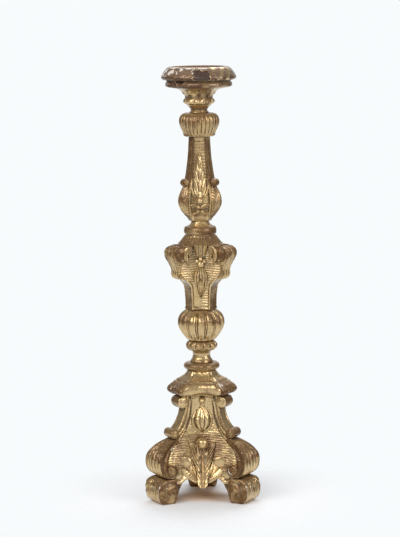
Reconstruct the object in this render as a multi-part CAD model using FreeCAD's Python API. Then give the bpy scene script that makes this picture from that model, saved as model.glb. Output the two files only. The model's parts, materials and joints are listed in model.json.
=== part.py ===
"""Carved and gilded wooden candlestick on a three-sided base with scroll feet.

Millimetres, +Z up. The origin is on the stem's axis, on the plane that the feet stand on.
The front panel of the base faces -Y. Every section above the feet carries a round tenon
that is glued into the section below it, and a metal candle cup lifts out of the drip pan.
"""

import FreeCAD
import Part
import math
import os

from FreeCAD import Vector

# Heights of the stacked sections, from the floor up
FOOT_HEIGHT = 35.0
BODY_HEIGHT = 112.5
CAP_BAND_HEIGHT = 17.5
CAP_NECK_HEIGHT = 15.0
COLLAR_HEIGHT = 11.5
NECK_HEIGHT = 30.5
KNOP_HEIGHT = 44.0
VASE_HEIGHT = 91.0
SHOULDER_HEIGHT = 32.0
BALUSTER_HEIGHT = 116.0
CROWN_HEIGHT = 32.0
CUP_HEIGHT = 35.0
PAN_HEIGHT = 28.0

# Joints between the sections
TENON_R = 7.0
TENON_LENGTH = 14.0
CAP_TENON_R = 9.0
CAP_TENON_LENGTH = 16.0
GLUE_GAP = 0.1
TENON_END_GAP = 1.0
DOWEL_R = 4.0
DOWEL_LENGTH = 30.0

# Scroll feet and corner consoles of the base
SCROLL_REACH = 81.0
SCROLL_HALF_WIDTH = 21.0
SCROLL_MIDDLE = 23.0
SCROLL_END_INSET = 13.0
BROW_INSET = 10.5
BROW_HEIGHT = 20.0
BROW_BOW = 0.6
CURL_R = 6.5
CURL_INSET = 25.0
CURL_ABOVE_BROW = 17.5
CURL_HALF_WIDTH = 10.5
CONSOLE_TOP_R = 31.8
CONSOLE_TOP_HALF_WIDTH = 9.0
CONSOLE_SWEEP = 4.5
BRACKET_R = 8.5
BRACKET_REACH = 44.0
BRACKET_HALF_WIDTH = 11.0
FOOT_SOLE_INSET = 13.0
FOOT_SOLE_LENGTH = 14.0
FOOT_TUCK = 5.5
FOOT_SIDE_INSET = 1.0
BAND_WIDTH = 10.0
BAND_DEPTH = 4.0
VOLUTE_R = 11.0
VOLUTE_EYE_R = 5.0
VOLUTE_GROOVE = 2.0
VOLUTE_DEPTH = 1.5
VOLUTE_HALF_TURNS = 3

# Three-sided body, cap, vase and baluster: distance from the axis to the middle of a side
BODY_HEM_FACE = 44.0
BODY_FOOT_FACE = 38.0
BODY_LOWER_FACE = 29.0
BODY_UPPER_FACE = 20.0
BODY_WAIST_FACE = 16.5
BODY_TOP_FACE = 20.0
CAP_FACE = 36.0
CAP_NECK_FACE = 16.0
VASE_FOOT_FACE = 15.8
VASE_WAIST_FACE = 16.4
VASE_TOP_FACE = 23.5
BALUSTER_FOOT_FACE = 11.5
BALUSTER_BELLY_FACE = 19.0
BALUSTER_SHOULDER_FACE = 14.0
BALUSTER_TOP_FACE = 10.4

# Three-sided plans: corner distance and half width of the corner flat, as shares of the face distance
BODY_PLAN = (1.25, 0.48)
CAP_PLAN = (1.28, 0.55)
VASE_PLAN = (1.23, 0.54)
BALUSTER_PLAN = (1.27, 0.46)

# Applied carving on the three panels of each section
HEM_DROP = 15.0
LEAF_DROP = 10.5
LEAF_HEIGHT = 55.0
LEAF_HALF_WIDTH = 19.0
LEAF_RELIEF = 6.0
LEAF_RIB_R = 4.0
LEAF_BEAD_R = 7.0
BUD_R = 11.5
BUD_SHARE = 0.72
BUD_BEAD_R = 4.2
BUD_BEAD_DROP = 5.5
LAPPET_DROP = 18.0
LAPPET_HALF_WIDTH = 13.0
LAPPET_RELIEF = 4.0
HUSK_LENGTH = 42.0
HUSK_R = 7.5
HUSK_BEAD_R = 4.0
HUSK_BEAD_GAP = 3.0
SPRAY_LENGTH = 50.0
SPRAY_HALF_WIDTH = 6.5
SPRAY_RELIEF = 3.0
SPRAY_RIB_R = 2.2
SPRAY_BEAD_R = 4.0
SPRAY_BEAD_RISE = 30.0

# Consoles of the vase and leaf scrolls of the baluster
VASE_CONSOLE_REACH = 49.5
VASE_CONSOLE_HALF_WIDTH = 13.0
VASE_CONSOLE_HEIGHT = 47.0
VASE_CONSOLE_FOOT_INSET = 9.5
VASE_CONSOLE_DROP = 2.5
VASE_CONSOLE_SWEEP = 1.5
VASE_HOOK = 2.0
VASE_EYE_R = 7.5
LEAF_SCROLL_REACH = 28.5
LEAF_SCROLL_HALF_WIDTH = 11.5
LEAF_SCROLL_RISE = 8.0
LEAF_SCROLL_HEIGHT = 42.0
LEAF_CURL_R = 5.0

# Turned profiles
COLLAR_R = 25.0
COLLAR_SEAT_R = 19.0
NECK_FLARE_R = 15.7
NECK_R = 12.0
LEAF_RING_R = 21.0
KNOP_R = 32.5
KNOP_FOOT_R = 19.0
KNOP_TOP_R = 20.5
KNOP_BELLY_RISE = 25.0
KNOP_LOBES = 16
KNOP_CREASE = 3.0
SHOULDER_R = 29.5
SHOULDER_COLLAR_R = 22.3
SHOULDER_NECK_R = 11.7
CROWN_R = 27.1
CROWN_LIP_R = 22.0
CROWN_TOP_R = 20.0
CROWN_LIP_HEIGHT = 5.0
CROWN_BELLY_RISE = 21.0
CROWN_LOBES = 16
CROWN_CREASE = 2.2
CREASE_WIDTH = 1.6
CUP_NECK_R = 11.0
CUP_BEAD_R = 21.7
CUP_WAIST_R = 19.5
CUP_FLARE_R = 39.0
PAN_R = 51.6
PAN_LIP_INSET = 5.6
PAN_ROUND = 11.6
PAN_RIM_WIDTH = 5.0
PAN_DISH_DEPTH = 10.0
PAN_SPIGOT_R = 16.5
PAN_SPIGOT_LENGTH = 6.0

# Candle cup of sheet metal
CANDLE_BORE_R = 11.25
CANDLE_CUP_WALL = 0.8
CANDLE_CUP_DEPTH = 27.0
CANDLE_FLANGE_R = 20.0
CANDLE_CUP_CLEARANCE = 0.1

# Levels of the seams between the sections
Z_BODY = FOOT_HEIGHT
Z_CAP = Z_BODY + BODY_HEIGHT
Z_CAP_NECK = Z_CAP + CAP_BAND_HEIGHT
Z_COLLAR = Z_CAP_NECK + CAP_NECK_HEIGHT
Z_NECK = Z_COLLAR + COLLAR_HEIGHT
Z_KNOP = Z_NECK + NECK_HEIGHT
Z_VASE = Z_KNOP + KNOP_HEIGHT
Z_SHOULDER = Z_VASE + VASE_HEIGHT
Z_BALUSTER = Z_SHOULDER + SHOULDER_HEIGHT
Z_CROWN = Z_BALUSTER + BALUSTER_HEIGHT
Z_CUP = Z_CROWN + CROWN_HEIGHT
Z_PAN = Z_CUP + CUP_HEIGHT
Z_TOP = Z_PAN + PAN_HEIGHT
Z_DISH = Z_TOP - PAN_DISH_DEPTH

# Sizes that follow from others: points of the base's scrolls, and beads and buds on the panels
SCROLL_END_R = SCROLL_REACH - SCROLL_END_INSET
BROW_REACH = SCROLL_REACH - BROW_INSET
BROW_RISE = SCROLL_MIDDLE + BROW_HEIGHT
CURL_REACH = SCROLL_REACH - CURL_INSET
CURL_RISE = BROW_RISE + CURL_ABOVE_BROW
FOOT_HALF_WIDTH = SCROLL_HALF_WIDTH - FOOT_SIDE_INSET
FOOT_SOLE_OUTER_R = SCROLL_REACH - FOOT_SOLE_INSET
FOOT_SOLE_INNER_R = FOOT_SOLE_OUTER_R - FOOT_SOLE_LENGTH
BODY_CORNER_R = BODY_PLAN[0] * BODY_FOOT_FACE
FOOT_TOP_INNER_R = BODY_CORNER_R - FOOT_TUCK
DOWEL_FROM_AXIS = (BODY_CORNER_R + SCROLL_END_R) / 2
Z_LEAF_TIP = Z_BODY - LEAF_DROP
Z_LEAF_BEAD = Z_LEAF_TIP + LEAF_HEIGHT + LEAF_BEAD_R / 3
Z_BUD_BEAD = Z_CAP - BUD_BEAD_DROP
BUD_ROOM_LOW = Z_LEAF_BEAD + LEAF_BEAD_R
BUD_ROOM_HIGH = Z_BUD_BEAD - BUD_BEAD_R
Z_HUSK_BEAD = Z_SHOULDER - LAPPET_DROP - HUSK_BEAD_GAP - HUSK_BEAD_R

# Directions of the corners and of the panels, in degrees about +Z from +X
CORNERS = {"right": -30.0, "back": 90.0, "left": 210.0}
PANELS = {"front": 0.0, "rear_right": 120.0, "rear_left": 240.0}

AXIS = Vector(0, 0, 1)
ORIGIN = Vector(0, 0, 0)
FAR = 200.0
TOUCH = 1e-6


def in_section(radius, height):
    """A point of a radial section, with the radius along X and the height along Z."""
    return Vector(radius, 0, height)


def bowed_edge(start, end, sagitta, normal):
    """A circular arc from start to end that bows by sagitta to the right of its way, against normal."""
    right = (end - start).cross(normal)
    right.normalize()
    middle = (start + end) * 0.5 + right * sagitta
    return Part.Arc(start, middle, end).toShape()


def closed_wire(place, normal, start, *steps):
    """A closed outline: a step (a, b) is a straight line to that point, and (a, b, sagitta) an arc to it."""
    edges = []
    here = place(*start)
    for step in (*steps, start):
        there = place(step[0], step[1])
        if len(step) == 3:
            edges.append(bowed_edge(here, there, step[2], normal))
        elif (there - here).Length > TOUCH:
            edges.append(Part.makeLine(here, there))
        here = there
    return Part.Wire(edges)


def section_face(start, *steps):
    """A face in the radial XZ plane; a positive sagitta bows outwards where the way is anticlockwise."""
    return Part.Face(closed_wire(in_section, Vector(0, -1, 0), start, *steps))


def turned(start, *steps):
    """A solid of revolution about the stem's axis."""
    return section_face(start, *steps).revolve(ORIGIN, AXIS, 360)


def cylinder(radius, low, high):
    """A cylinder on the stem's axis between two levels."""
    return Part.makeCylinder(radius, high - low, Vector(0, 0, low), AXIS)


def cross_cylinder(radius, half_length, reach, level):
    """A cylinder that lies across a radial section, centred at a reach and a level."""
    return Part.makeCylinder(radius, 2 * half_length, Vector(reach, -half_length, level), Vector(0, 1, 0))


def with_tenon(shape, level, radius, length):
    """The section with a round tenon below its lower seam."""
    return shape.fuse(cylinder(radius, level - length, level)).removeSplitter()


def with_mortise(shape, level, radius, length):
    """The section bored for the tenon of the section above its upper seam."""
    return shape.cut(cylinder(radius + GLUE_GAP, level - length - TENON_END_GAP, level))


def three_sided_wire(level, face, plan):
    """A level section: three corner flats joined by bowed sides whose middles are `face` from the axis."""
    corner = face * plan[0]
    flat = face * plan[1]
    ends = []
    for angle in CORNERS.values():
        turn = math.radians(angle)
        outward = Vector(math.cos(turn), math.sin(turn), 0)
        along = Vector(-math.sin(turn), math.cos(turn), 0)
        middle_turn = turn + math.pi / len(CORNERS)
        middle = Vector(math.cos(middle_turn), math.sin(middle_turn), 0) * face
        ends.append((outward * corner - along * flat, outward * corner + along * flat, middle))
    lift = Vector(0, 0, level)
    edges = []
    for index, (first, last, middle) in enumerate(ends):
        following = ends[(index + 1) % len(ends)][0]
        edges.append(Part.makeLine(first + lift, last + lift))
        edges.append(Part.Arc(last + lift, middle + lift, following + lift).toShape())
    return Part.Wire(edges)


def three_sided(levels, plan, relief=0.0):
    """A smooth three-sided solid through (level, face distance) sections, grown outwards by a relief."""
    wires = [three_sided_wire(level, face + relief, plan) for level, face in levels]
    return Part.makeLoft(wires, True, False)


def below(level):
    """Everything under a level."""
    return Part.makeBox(2 * FAR, 2 * FAR, FAR, Vector(-FAR, -FAR, level - FAR))


def bandsawn(profile, widths, level):
    """A corner piece cut from two directions: a radial profile and half widths at heights above a level."""
    across = profile.extrude(Vector(0, 2 * FAR, 0))
    across.translate(Vector(0, -FAR, 0))
    right = [Vector(0, width, level + rise) for width, rise in widths]
    left = [Vector(0, -width, level + rise) for width, rise in reversed(widths)]
    outline = Part.Face(Part.makePolygon(right + left + right[:1]))
    return across.common(outline.extrude(Vector(FAR, 0, 0)))


def spiral_groove(reach, level, start_radius, depth_from, half_turns):
    """A spiral groove of half circles, as two solids that cut into both sides of a corner piece."""
    step = (start_radius - VOLUTE_EYE_R) / half_turns
    outer = []
    inner = []
    centre = reach
    radius = start_radius
    for turn in range(half_turns):
        side = 1 if turn % 2 == 0 else -1
        for edges, arc_radius in ((outer, radius), (inner, radius - VOLUTE_GROOVE)):
            first = Vector(centre + side * arc_radius, 0, level)
            middle = Vector(centre, 0, level + side * arc_radius)
            last = Vector(centre - side * arc_radius, 0, level)
            edges.append(Part.Arc(first, middle, last).toShape())
        centre -= side * step
        radius -= step
    first_end = Part.makeLine(inner[0].Vertexes[0].Point, outer[0].Vertexes[0].Point)
    last_end = Part.makeLine(outer[-1].Vertexes[-1].Point, inner[-1].Vertexes[-1].Point)
    face = Part.Face(Part.Wire(Part.__sortEdges__([first_end, *outer, last_end, *inner])))
    right = face.extrude(Vector(0, FAR, 0))
    right.translate(Vector(0, depth_from, 0))
    left = face.extrude(Vector(0, -FAR, 0))
    left.translate(Vector(0, -depth_from, 0))
    return right.fuse(left)


def upright_bow(width, height):
    """Sagitta of the arc over a chord of this width and height that stands upright at one end."""
    chord = math.hypot(width, height)
    radius = chord * chord / (2 * width)
    return radius - math.sqrt(radius * radius - chord * chord / 4)


def spindle(radius, length, forward, level):
    """A lemon shape on an upright axis in front of the stem, centred at a level."""
    half = length / 2
    arc = Part.Arc(in_section(0.0, -half), in_section(radius, 0.0), in_section(0.0, half))
    side = arc.toBSpline().toShape()
    core = Part.makeLine(in_section(0.0, half), in_section(0.0, -half))
    shape = Part.Face(Part.Wire([side, core])).revolve(ORIGIN, AXIS, 360)
    shape.translate(Vector(0, -forward, level))
    return shape


def bead(radius, forward, level):
    """A round bead in front of the stem."""
    return Part.makeSphere(radius, Vector(0, -forward, level))


def face_at(levels, level):
    """Distance from the axis to the middle of a side, between the sections of a three-sided solid."""
    for (low, low_face), (high, high_face) in zip(levels, levels[1:]):
        if low <= level <= high:
            return low_face + (high_face - low_face) * (level - low) / (high - low)
    return levels[-1][1]


def panel_prism(start, *steps):
    """A prism towards the front, from the right half of an outline that is the same on both sides."""
    edges = closed_wire(in_section, Vector(0, -1, 0), start, *steps).Edges[:len(steps)]
    mirrored = [edge.mirror(ORIGIN, Vector(1, 0, 0)) for edge in edges]
    face = Part.Face(Part.Wire(Part.__sortEdges__(edges + mirrored)))
    return face.extrude(Vector(0, -FAR, 0))


def copies(name, shape, turns):
    """One copy of a piece for each named direction."""
    pieces = {}
    for place, angle in turns.items():
        piece = shape.copy()
        piece.rotate(ORIGIN, AXIS, angle)
        pieces[name + "_" + place] = piece
    return pieces


def gadrooned(shape, foot, belly, top, depth, width, lobes):
    """A turned knop cut into upright lobes by grooves that follow three points of its profile."""
    low = in_section(foot[0] - depth, foot[1])
    middle = in_section(belly[0] - depth, belly[1])
    high = in_section(top[0] - depth, top[1])
    root = Part.Arc(low, middle, high).toShape()
    rest = Part.makePolygon([high, in_section(FAR, top[1]), in_section(FAR, foot[1]), low]).Edges
    tool = Part.Face(Part.Wire([root, *rest])).extrude(Vector(0, width, 0))
    tool.translate(Vector(0, -width / 2, 0))
    tools = []
    for index in range(lobes):
        copy = tool.copy()
        copy.rotate(ORIGIN, AXIS, 360.0 * (index + 0.5) / lobes)
        tools.append(copy)
    return shape.cut(tools)


# Sections of the three-sided pieces: level and face distance, from the lowest up
BODY_LEVELS = (
    (Z_BODY - HEM_DROP, BODY_HEM_FACE),
    (Z_BODY, BODY_FOOT_FACE),
    (Z_BODY + 0.22 * BODY_HEIGHT, BODY_LOWER_FACE),
    (Z_BODY + 0.52 * BODY_HEIGHT, BODY_UPPER_FACE),
    (Z_BODY + 0.80 * BODY_HEIGHT, BODY_WAIST_FACE),
    (Z_CAP, BODY_TOP_FACE),
)
CAP_BAND_LEVELS = (
    (Z_CAP, 0.92 * CAP_FACE),
    (Z_CAP + 0.28 * CAP_BAND_HEIGHT, 0.985 * CAP_FACE),
    (Z_CAP + 0.52 * CAP_BAND_HEIGHT, CAP_FACE),
    (Z_CAP + 0.80 * CAP_BAND_HEIGHT, 0.97 * CAP_FACE),
    (Z_CAP_NECK, 0.875 * CAP_FACE),
)
CAP_NECK_LEVELS = (
    (Z_CAP_NECK, 0.78 * CAP_FACE),
    (Z_CAP_NECK + 0.33 * CAP_NECK_HEIGHT, 1.32 * CAP_NECK_FACE),
    (Z_CAP_NECK + 0.66 * CAP_NECK_HEIGHT, 1.09 * CAP_NECK_FACE),
    (Z_COLLAR, CAP_NECK_FACE),
)
VASE_LEVELS = (
    (Z_VASE, VASE_FOOT_FACE),
    (Z_VASE + 0.25 * VASE_HEIGHT, VASE_WAIST_FACE),
    (Z_VASE + 0.50 * VASE_HEIGHT, 0.6 * VASE_WAIST_FACE + 0.4 * VASE_TOP_FACE),
    (Z_VASE + 0.75 * VASE_HEIGHT, 0.2 * VASE_WAIST_FACE + 0.8 * VASE_TOP_FACE),
    (Z_SHOULDER, VASE_TOP_FACE),
)
BALUSTER_LEVELS = (
    (Z_BALUSTER, BALUSTER_FOOT_FACE),
    (Z_BALUSTER + 0.09 * BALUSTER_HEIGHT, 0.4 * BALUSTER_FOOT_FACE + 0.6 * BALUSTER_BELLY_FACE),
    (Z_BALUSTER + 0.22 * BALUSTER_HEIGHT, BALUSTER_BELLY_FACE),
    (Z_BALUSTER + 0.38 * BALUSTER_HEIGHT, 0.6 * BALUSTER_BELLY_FACE + 0.4 * BALUSTER_SHOULDER_FACE),
    (Z_BALUSTER + 0.57 * BALUSTER_HEIGHT, BALUSTER_SHOULDER_FACE),
    (Z_BALUSTER + 0.75 * BALUSTER_HEIGHT, 0.4 * BALUSTER_SHOULDER_FACE + 0.6 * BALUSTER_TOP_FACE),
    (Z_CROWN, BALUSTER_TOP_FACE),
)


def foot():
    """Scroll foot at the +X corner: a fat roll on a flat sole, with a web up to the base."""
    middle = FOOT_HEIGHT / 2
    profile = section_face(
        (FOOT_TOP_INNER_R, FOOT_HEIGHT),
        (FOOT_SOLE_INNER_R, 0.0),
        (FOOT_SOLE_OUTER_R, 0.0),
        (SCROLL_REACH, middle, upright_bow(FOOT_SOLE_INSET, middle)),
        (SCROLL_END_R, FOOT_HEIGHT, upright_bow(SCROLL_END_INSET, middle)),
    )
    widths = ((FOOT_HALF_WIDTH, 0.0), (SCROLL_HALF_WIDTH, middle), (FOOT_HALF_WIDTH, FOOT_HEIGHT))
    shape = bandsawn(profile, widths, 0.0)
    groove_from = FOOT_HALF_WIDTH - VOLUTE_DEPTH
    groove = spiral_groove(SCROLL_REACH - middle, middle, VOLUTE_R, groove_from, VOLUTE_HALF_TURNS)
    return shape.cut(groove).cut(dowel(DOWEL_R + GLUE_GAP, DOWEL_LENGTH + 2 * TENON_END_GAP))


def dowel(radius, length):
    """Upright dowel at the +X corner, half in the foot and half in the console."""
    return Part.makeCylinder(radius, length, Vector(DOWEL_FROM_AXIS, 0, Z_BODY - length / 2), AXIS)


def facing_corner(ground):
    """A three-sided solid turned so that its right corner lies on +X, where the corner pieces are shaped."""
    turned_ground = ground.copy()
    turned_ground.rotate(ORIGIN, AXIS, -CORNERS["right"])
    return turned_ground


def body_ground():
    """The panels' ground of the base, run on below the body for the leaves that hang past its edge."""
    return three_sided(BODY_LEVELS, BODY_PLAN)


def corner_console(ground):
    """Console at the +X corner: a hollow sweep down to a curl, then a fat scroll with a side volute."""
    curl_reach = CURL_REACH - CURL_R
    curl_level = Z_BODY + CURL_RISE
    top = Z_CAP - 2 * BRACKET_R
    belly = Z_BODY + SCROLL_MIDDLE
    back = BODY_WAIST_FACE / 2
    brow = Z_BODY + BROW_RISE
    end_bow = upright_bow(SCROLL_END_INSET, SCROLL_MIDDLE)
    brow_bow = upright_bow(BROW_INSET, BROW_HEIGHT)
    profile = section_face(
        (back, Z_BODY),
        (SCROLL_END_R, Z_BODY),
        (SCROLL_REACH, belly, end_bow),
        (BROW_REACH, brow, brow_bow),
        (curl_reach, curl_level, BROW_BOW),
        (CONSOLE_TOP_R, top, -CONSOLE_SWEEP),
        (back, top),
    )
    widths = (
        (FOOT_HALF_WIDTH, 0.0),
        (SCROLL_HALF_WIDTH, SCROLL_MIDDLE),
        (CURL_HALF_WIDTH, CURL_RISE - CURL_R),
        (CONSOLE_TOP_HALF_WIDTH, top - Z_BODY),
    )
    shape = bandsawn(profile, widths, Z_BODY)
    shape = shape.fuse(cross_cylinder(CURL_R, CURL_HALF_WIDTH, curl_reach, curl_level))
    inset = section_face(
        (back, Z_BODY),
        (SCROLL_END_R - BAND_WIDTH, Z_BODY),
        (SCROLL_REACH - BAND_WIDTH, belly, end_bow),
        (BROW_REACH - BAND_WIDTH, brow, brow_bow),
        (curl_reach - BAND_WIDTH, curl_level, BROW_BOW),
        (back, curl_level),
    )
    volute_reach = SCROLL_REACH - 2 * VOLUTE_R
    volute_level = Z_BODY + VOLUTE_R
    volute = cross_cylinder(VOLUTE_R, FAR, volute_reach, volute_level)
    for side in (1, -1):
        pocket = inset.extrude(Vector(0, side * FAR, 0))
        pocket.translate(Vector(0, side * (SCROLL_HALF_WIDTH - BAND_DEPTH), 0))
        shape = shape.cut(pocket.cut(volute))
    groove = spiral_groove(volute_reach, volute_level, VOLUTE_R - VOLUTE_GROOVE / 2,
                           FOOT_HALF_WIDTH - VOLUTE_DEPTH, VOLUTE_HALF_TURNS)
    hole = dowel(DOWEL_R + GLUE_GAP, DOWEL_LENGTH + 2 * TENON_END_GAP)
    return shape.cut([groove, hole]).cut(facing_corner(ground))


def cap_bracket(ground):
    """Small scroll at the +X corner between the console and the cap."""
    reach = BRACKET_REACH - BRACKET_R
    low = Z_CAP - 2 * BRACKET_R
    roll = cross_cylinder(BRACKET_R, BRACKET_HALF_WIDTH, reach, Z_CAP - BRACKET_R)
    web = Part.makeBox(reach, 2 * BRACKET_HALF_WIDTH, 2 * BRACKET_R, Vector(0, -BRACKET_HALF_WIDTH, low))
    eye = cross_cylinder(VOLUTE_EYE_R, BRACKET_HALF_WIDTH + VOLUTE_DEPTH, reach, Z_CAP - BRACKET_R)
    return roll.fuse([web, eye]).removeSplitter().cut(facing_corner(ground))


def base_body(ground):
    """Three-sided waisted body of the base, with the mortise for the cap."""
    return with_mortise(ground.cut(below(Z_BODY)), Z_CAP, CAP_TENON_R, CAP_TENON_LENGTH)


def base_leaf(ground, consoles):
    """Acanthus leaf low on the front panel: two lobes a side, a rib and a bead, its tip below the body."""
    tip = Z_LEAF_TIP
    wide = LEAF_HALF_WIDTH
    high = LEAF_HEIGHT
    blade = panel_prism(
        (0.0, tip),
        (0.85 * wide, tip + 0.36 * high, 0.05 * high),
        (0.50 * wide, tip + 0.48 * high),
        (wide, tip + 0.95 * high, 0.06 * high),
        (0.42 * wide, tip + 0.80 * high),
        (0.0, tip + high, 0.04 * high),
    )
    rib = panel_prism((0.0, tip), (0.0, tip + 0.9 * high, LEAF_RIB_R))
    leaf = blade.common(three_sided(BODY_LEVELS, BODY_PLAN, LEAF_RELIEF))
    raised = rib.common(three_sided(BODY_LEVELS, BODY_PLAN, LEAF_RELIEF + LEAF_RIB_R / 2))
    knob = bead(LEAF_BEAD_R, face_at(BODY_LEVELS, Z_LEAF_BEAD) + LEAF_BEAD_R / 3, Z_LEAF_BEAD)
    return leaf.fuse([raised, knob]).cut([ground, *consoles]).removeSplitter()


def lobed_bud(radius, length, forward, level):
    """A bud of three lemon-shaped lobes side by side."""
    middle = spindle(0.72 * radius, length, forward + 0.28 * radius, level)
    lobes = []
    for side in (1, -1):
        lobe = spindle(0.60 * radius, 0.82 * length, forward, level)
        lobe.translate(Vector(side * 0.40 * radius, 0, 0))
        lobes.append(lobe)
    return middle.fuse(lobes)


def base_bud(ground, consoles):
    """Lobed bud hanging from a bead, high on the front panel."""
    level = (BUD_ROOM_LOW + BUD_ROOM_HIGH) / 2
    length = BUD_SHARE * (BUD_ROOM_HIGH - BUD_ROOM_LOW)
    bud = lobed_bud(BUD_R, length, face_at(BODY_LEVELS, level), level)
    bead_forward = face_at(BODY_LEVELS, Z_BUD_BEAD) + BUD_BEAD_R / 2
    stalk = spindle(BUD_BEAD_R, length / 2, bead_forward - BUD_BEAD_R / 2, BUD_ROOM_HIGH - BUD_BEAD_R)
    return bud.fuse([bead(BUD_BEAD_R, bead_forward, Z_BUD_BEAD), stalk]).cut([ground, *consoles])


def base_cap():
    """Three-sided moulded cap: a round band and a hollow shoulder, tenoned into the body."""
    shape = three_sided(CAP_BAND_LEVELS, CAP_PLAN).fuse(three_sided(CAP_NECK_LEVELS, CAP_PLAN))
    shape = with_tenon(shape, Z_CAP, CAP_TENON_R, CAP_TENON_LENGTH)
    return with_mortise(shape, Z_COLLAR, TENON_R, TENON_LENGTH)


def base_collar():
    """Turned collar threaded over the neck's tenon: a fillet, a fat round and a small step."""
    round_low = Z_COLLAR + 0.26 * COLLAR_HEIGHT
    round_high = Z_COLLAR + 0.87 * COLLAR_HEIGHT
    round_r = COLLAR_SEAT_R + 0.4 * (COLLAR_R - COLLAR_SEAT_R)
    shape = turned(
        (0.0, Z_COLLAR),
        (COLLAR_SEAT_R, Z_COLLAR),
        (COLLAR_SEAT_R, round_low),
        (round_r, round_low),
        (round_r, round_high, COLLAR_R - round_r),
        (COLLAR_SEAT_R, round_high),
        (COLLAR_SEAT_R, Z_NECK),
        (0.0, Z_NECK),
    )
    return shape.cut(cylinder(TENON_R + GLUE_GAP, Z_COLLAR, Z_NECK))


def lower_neck():
    """Turned neck that flares to a wavy leaf ring, with a long tenon through the collar."""
    ring_low = Z_NECK + 0.62 * NECK_HEIGHT
    ring_high = Z_NECK + 0.92 * NECK_HEIGHT
    ring_root = 0.76 * LEAF_RING_R
    shape = turned(
        (0.0, Z_NECK),
        (NECK_FLARE_R, Z_NECK),
        (ring_root, ring_low, NECK_R - NECK_FLARE_R),
        (ring_root, ring_high, LEAF_RING_R - ring_root),
        (KNOP_FOOT_R, Z_KNOP),
        (0.0, Z_KNOP),
    )
    shape = with_tenon(shape, Z_NECK, TENON_R, COLLAR_HEIGHT + TENON_LENGTH)
    return with_mortise(shape, Z_KNOP, TENON_R, TENON_LENGTH)


def gadroon_knop():
    """Melon-shaped knop cut into lobes."""
    foot_end = (KNOP_FOOT_R, Z_KNOP)
    belly = (KNOP_R, Z_KNOP + KNOP_BELLY_RISE)
    top_end = (KNOP_TOP_R, Z_VASE)
    low_bow = upright_bow(KNOP_R - KNOP_FOOT_R, KNOP_BELLY_RISE)
    high_bow = upright_bow(KNOP_R - KNOP_TOP_R, KNOP_HEIGHT - KNOP_BELLY_RISE)
    shape = turned((0.0, Z_KNOP), foot_end, (*belly, low_bow), (*top_end, high_bow), (0.0, Z_VASE))
    shape = gadrooned(shape, foot_end, belly, top_end, KNOP_CREASE, CREASE_WIDTH, KNOP_LOBES)
    shape = with_tenon(shape, Z_KNOP, TENON_R, TENON_LENGTH)
    return with_mortise(shape, Z_VASE, TENON_R, TENON_LENGTH)


def vase_ground():
    """The three-sided vase before it is bored."""
    return three_sided(VASE_LEVELS, VASE_PLAN)


def vase(ground):
    """Three-sided tapering vase, tenoned into the knop."""
    shape = with_tenon(ground, Z_VASE, TENON_R, TENON_LENGTH)
    return with_mortise(shape, Z_SHOULDER, TENON_R, TENON_LENGTH)


def vase_console(ground):
    """Console at the +X corner of the vase: a volute at the top that tapers to a small hooked end."""
    tall = VASE_CONSOLE_HEIGHT
    low = Z_SHOULDER - tall
    foot_r = VASE_CONSOLE_REACH - VASE_CONSOLE_FOOT_INSET
    eye_reach = VASE_CONSOLE_REACH - 1.75 * VASE_EYE_R
    crest = Z_SHOULDER - VASE_CONSOLE_DROP
    eye_level = crest - 1.1 * VASE_EYE_R
    back = VASE_FOOT_FACE / 2
    profile = section_face(
        (back, low),
        (foot_r - VASE_HOOK, low),
        (foot_r, low + 0.16 * tall, VASE_HOOK / 2),
        (VASE_CONSOLE_REACH, eye_level, -VASE_CONSOLE_SWEEP),
        (eye_reach, crest, upright_bow(VASE_CONSOLE_REACH - eye_reach, crest - eye_level)),
        (SHOULDER_R, Z_SHOULDER),
        (back, Z_SHOULDER),
    )
    narrow = 0.75 * VASE_CONSOLE_HALF_WIDTH
    widths = ((narrow, 0.0), (VASE_CONSOLE_HALF_WIDTH, 0.65 * tall), (VASE_CONSOLE_HALF_WIDTH, tall))
    shape = bandsawn(profile, widths, low)
    eye = cross_cylinder(VASE_EYE_R, VASE_CONSOLE_HALF_WIDTH + VOLUTE_DEPTH, eye_reach, eye_level)
    return shape.fuse(eye).removeSplitter().cut(facing_corner(ground))


def vase_husk(ground):
    """Husk that hangs from a bead on the front panel of the vase."""
    level = Z_HUSK_BEAD - HUSK_BEAD_R - HUSK_LENGTH / 2
    forward = face_at(VASE_LEVELS, level)
    husk = lobed_bud(HUSK_R, HUSK_LENGTH, forward, level)
    knob = bead(HUSK_BEAD_R, face_at(VASE_LEVELS, Z_HUSK_BEAD) + HUSK_BEAD_R / 3, Z_HUSK_BEAD)
    stalk = spindle(HUSK_BEAD_R, HUSK_LENGTH, forward, Z_HUSK_BEAD - 2 * HUSK_BEAD_R)
    return husk.fuse([knob, stalk]).cut(ground)


def vase_lappet(ground, consoles):
    """Rounded tongue that hangs over the top of the front panel, between two consoles."""
    low = Z_SHOULDER - LAPPET_DROP
    tongue = panel_prism(
        (0.0, low),
        (LAPPET_HALF_WIDTH, low + 0.6 * LAPPET_DROP, 0.25 * LAPPET_DROP),
        (LAPPET_HALF_WIDTH, Z_SHOULDER),
        (0.0, Z_SHOULDER),
    )
    shape = tongue.common(three_sided(VASE_LEVELS, VASE_PLAN, LAPPET_RELIEF))
    return shape.cut([ground, *consoles])


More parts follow.
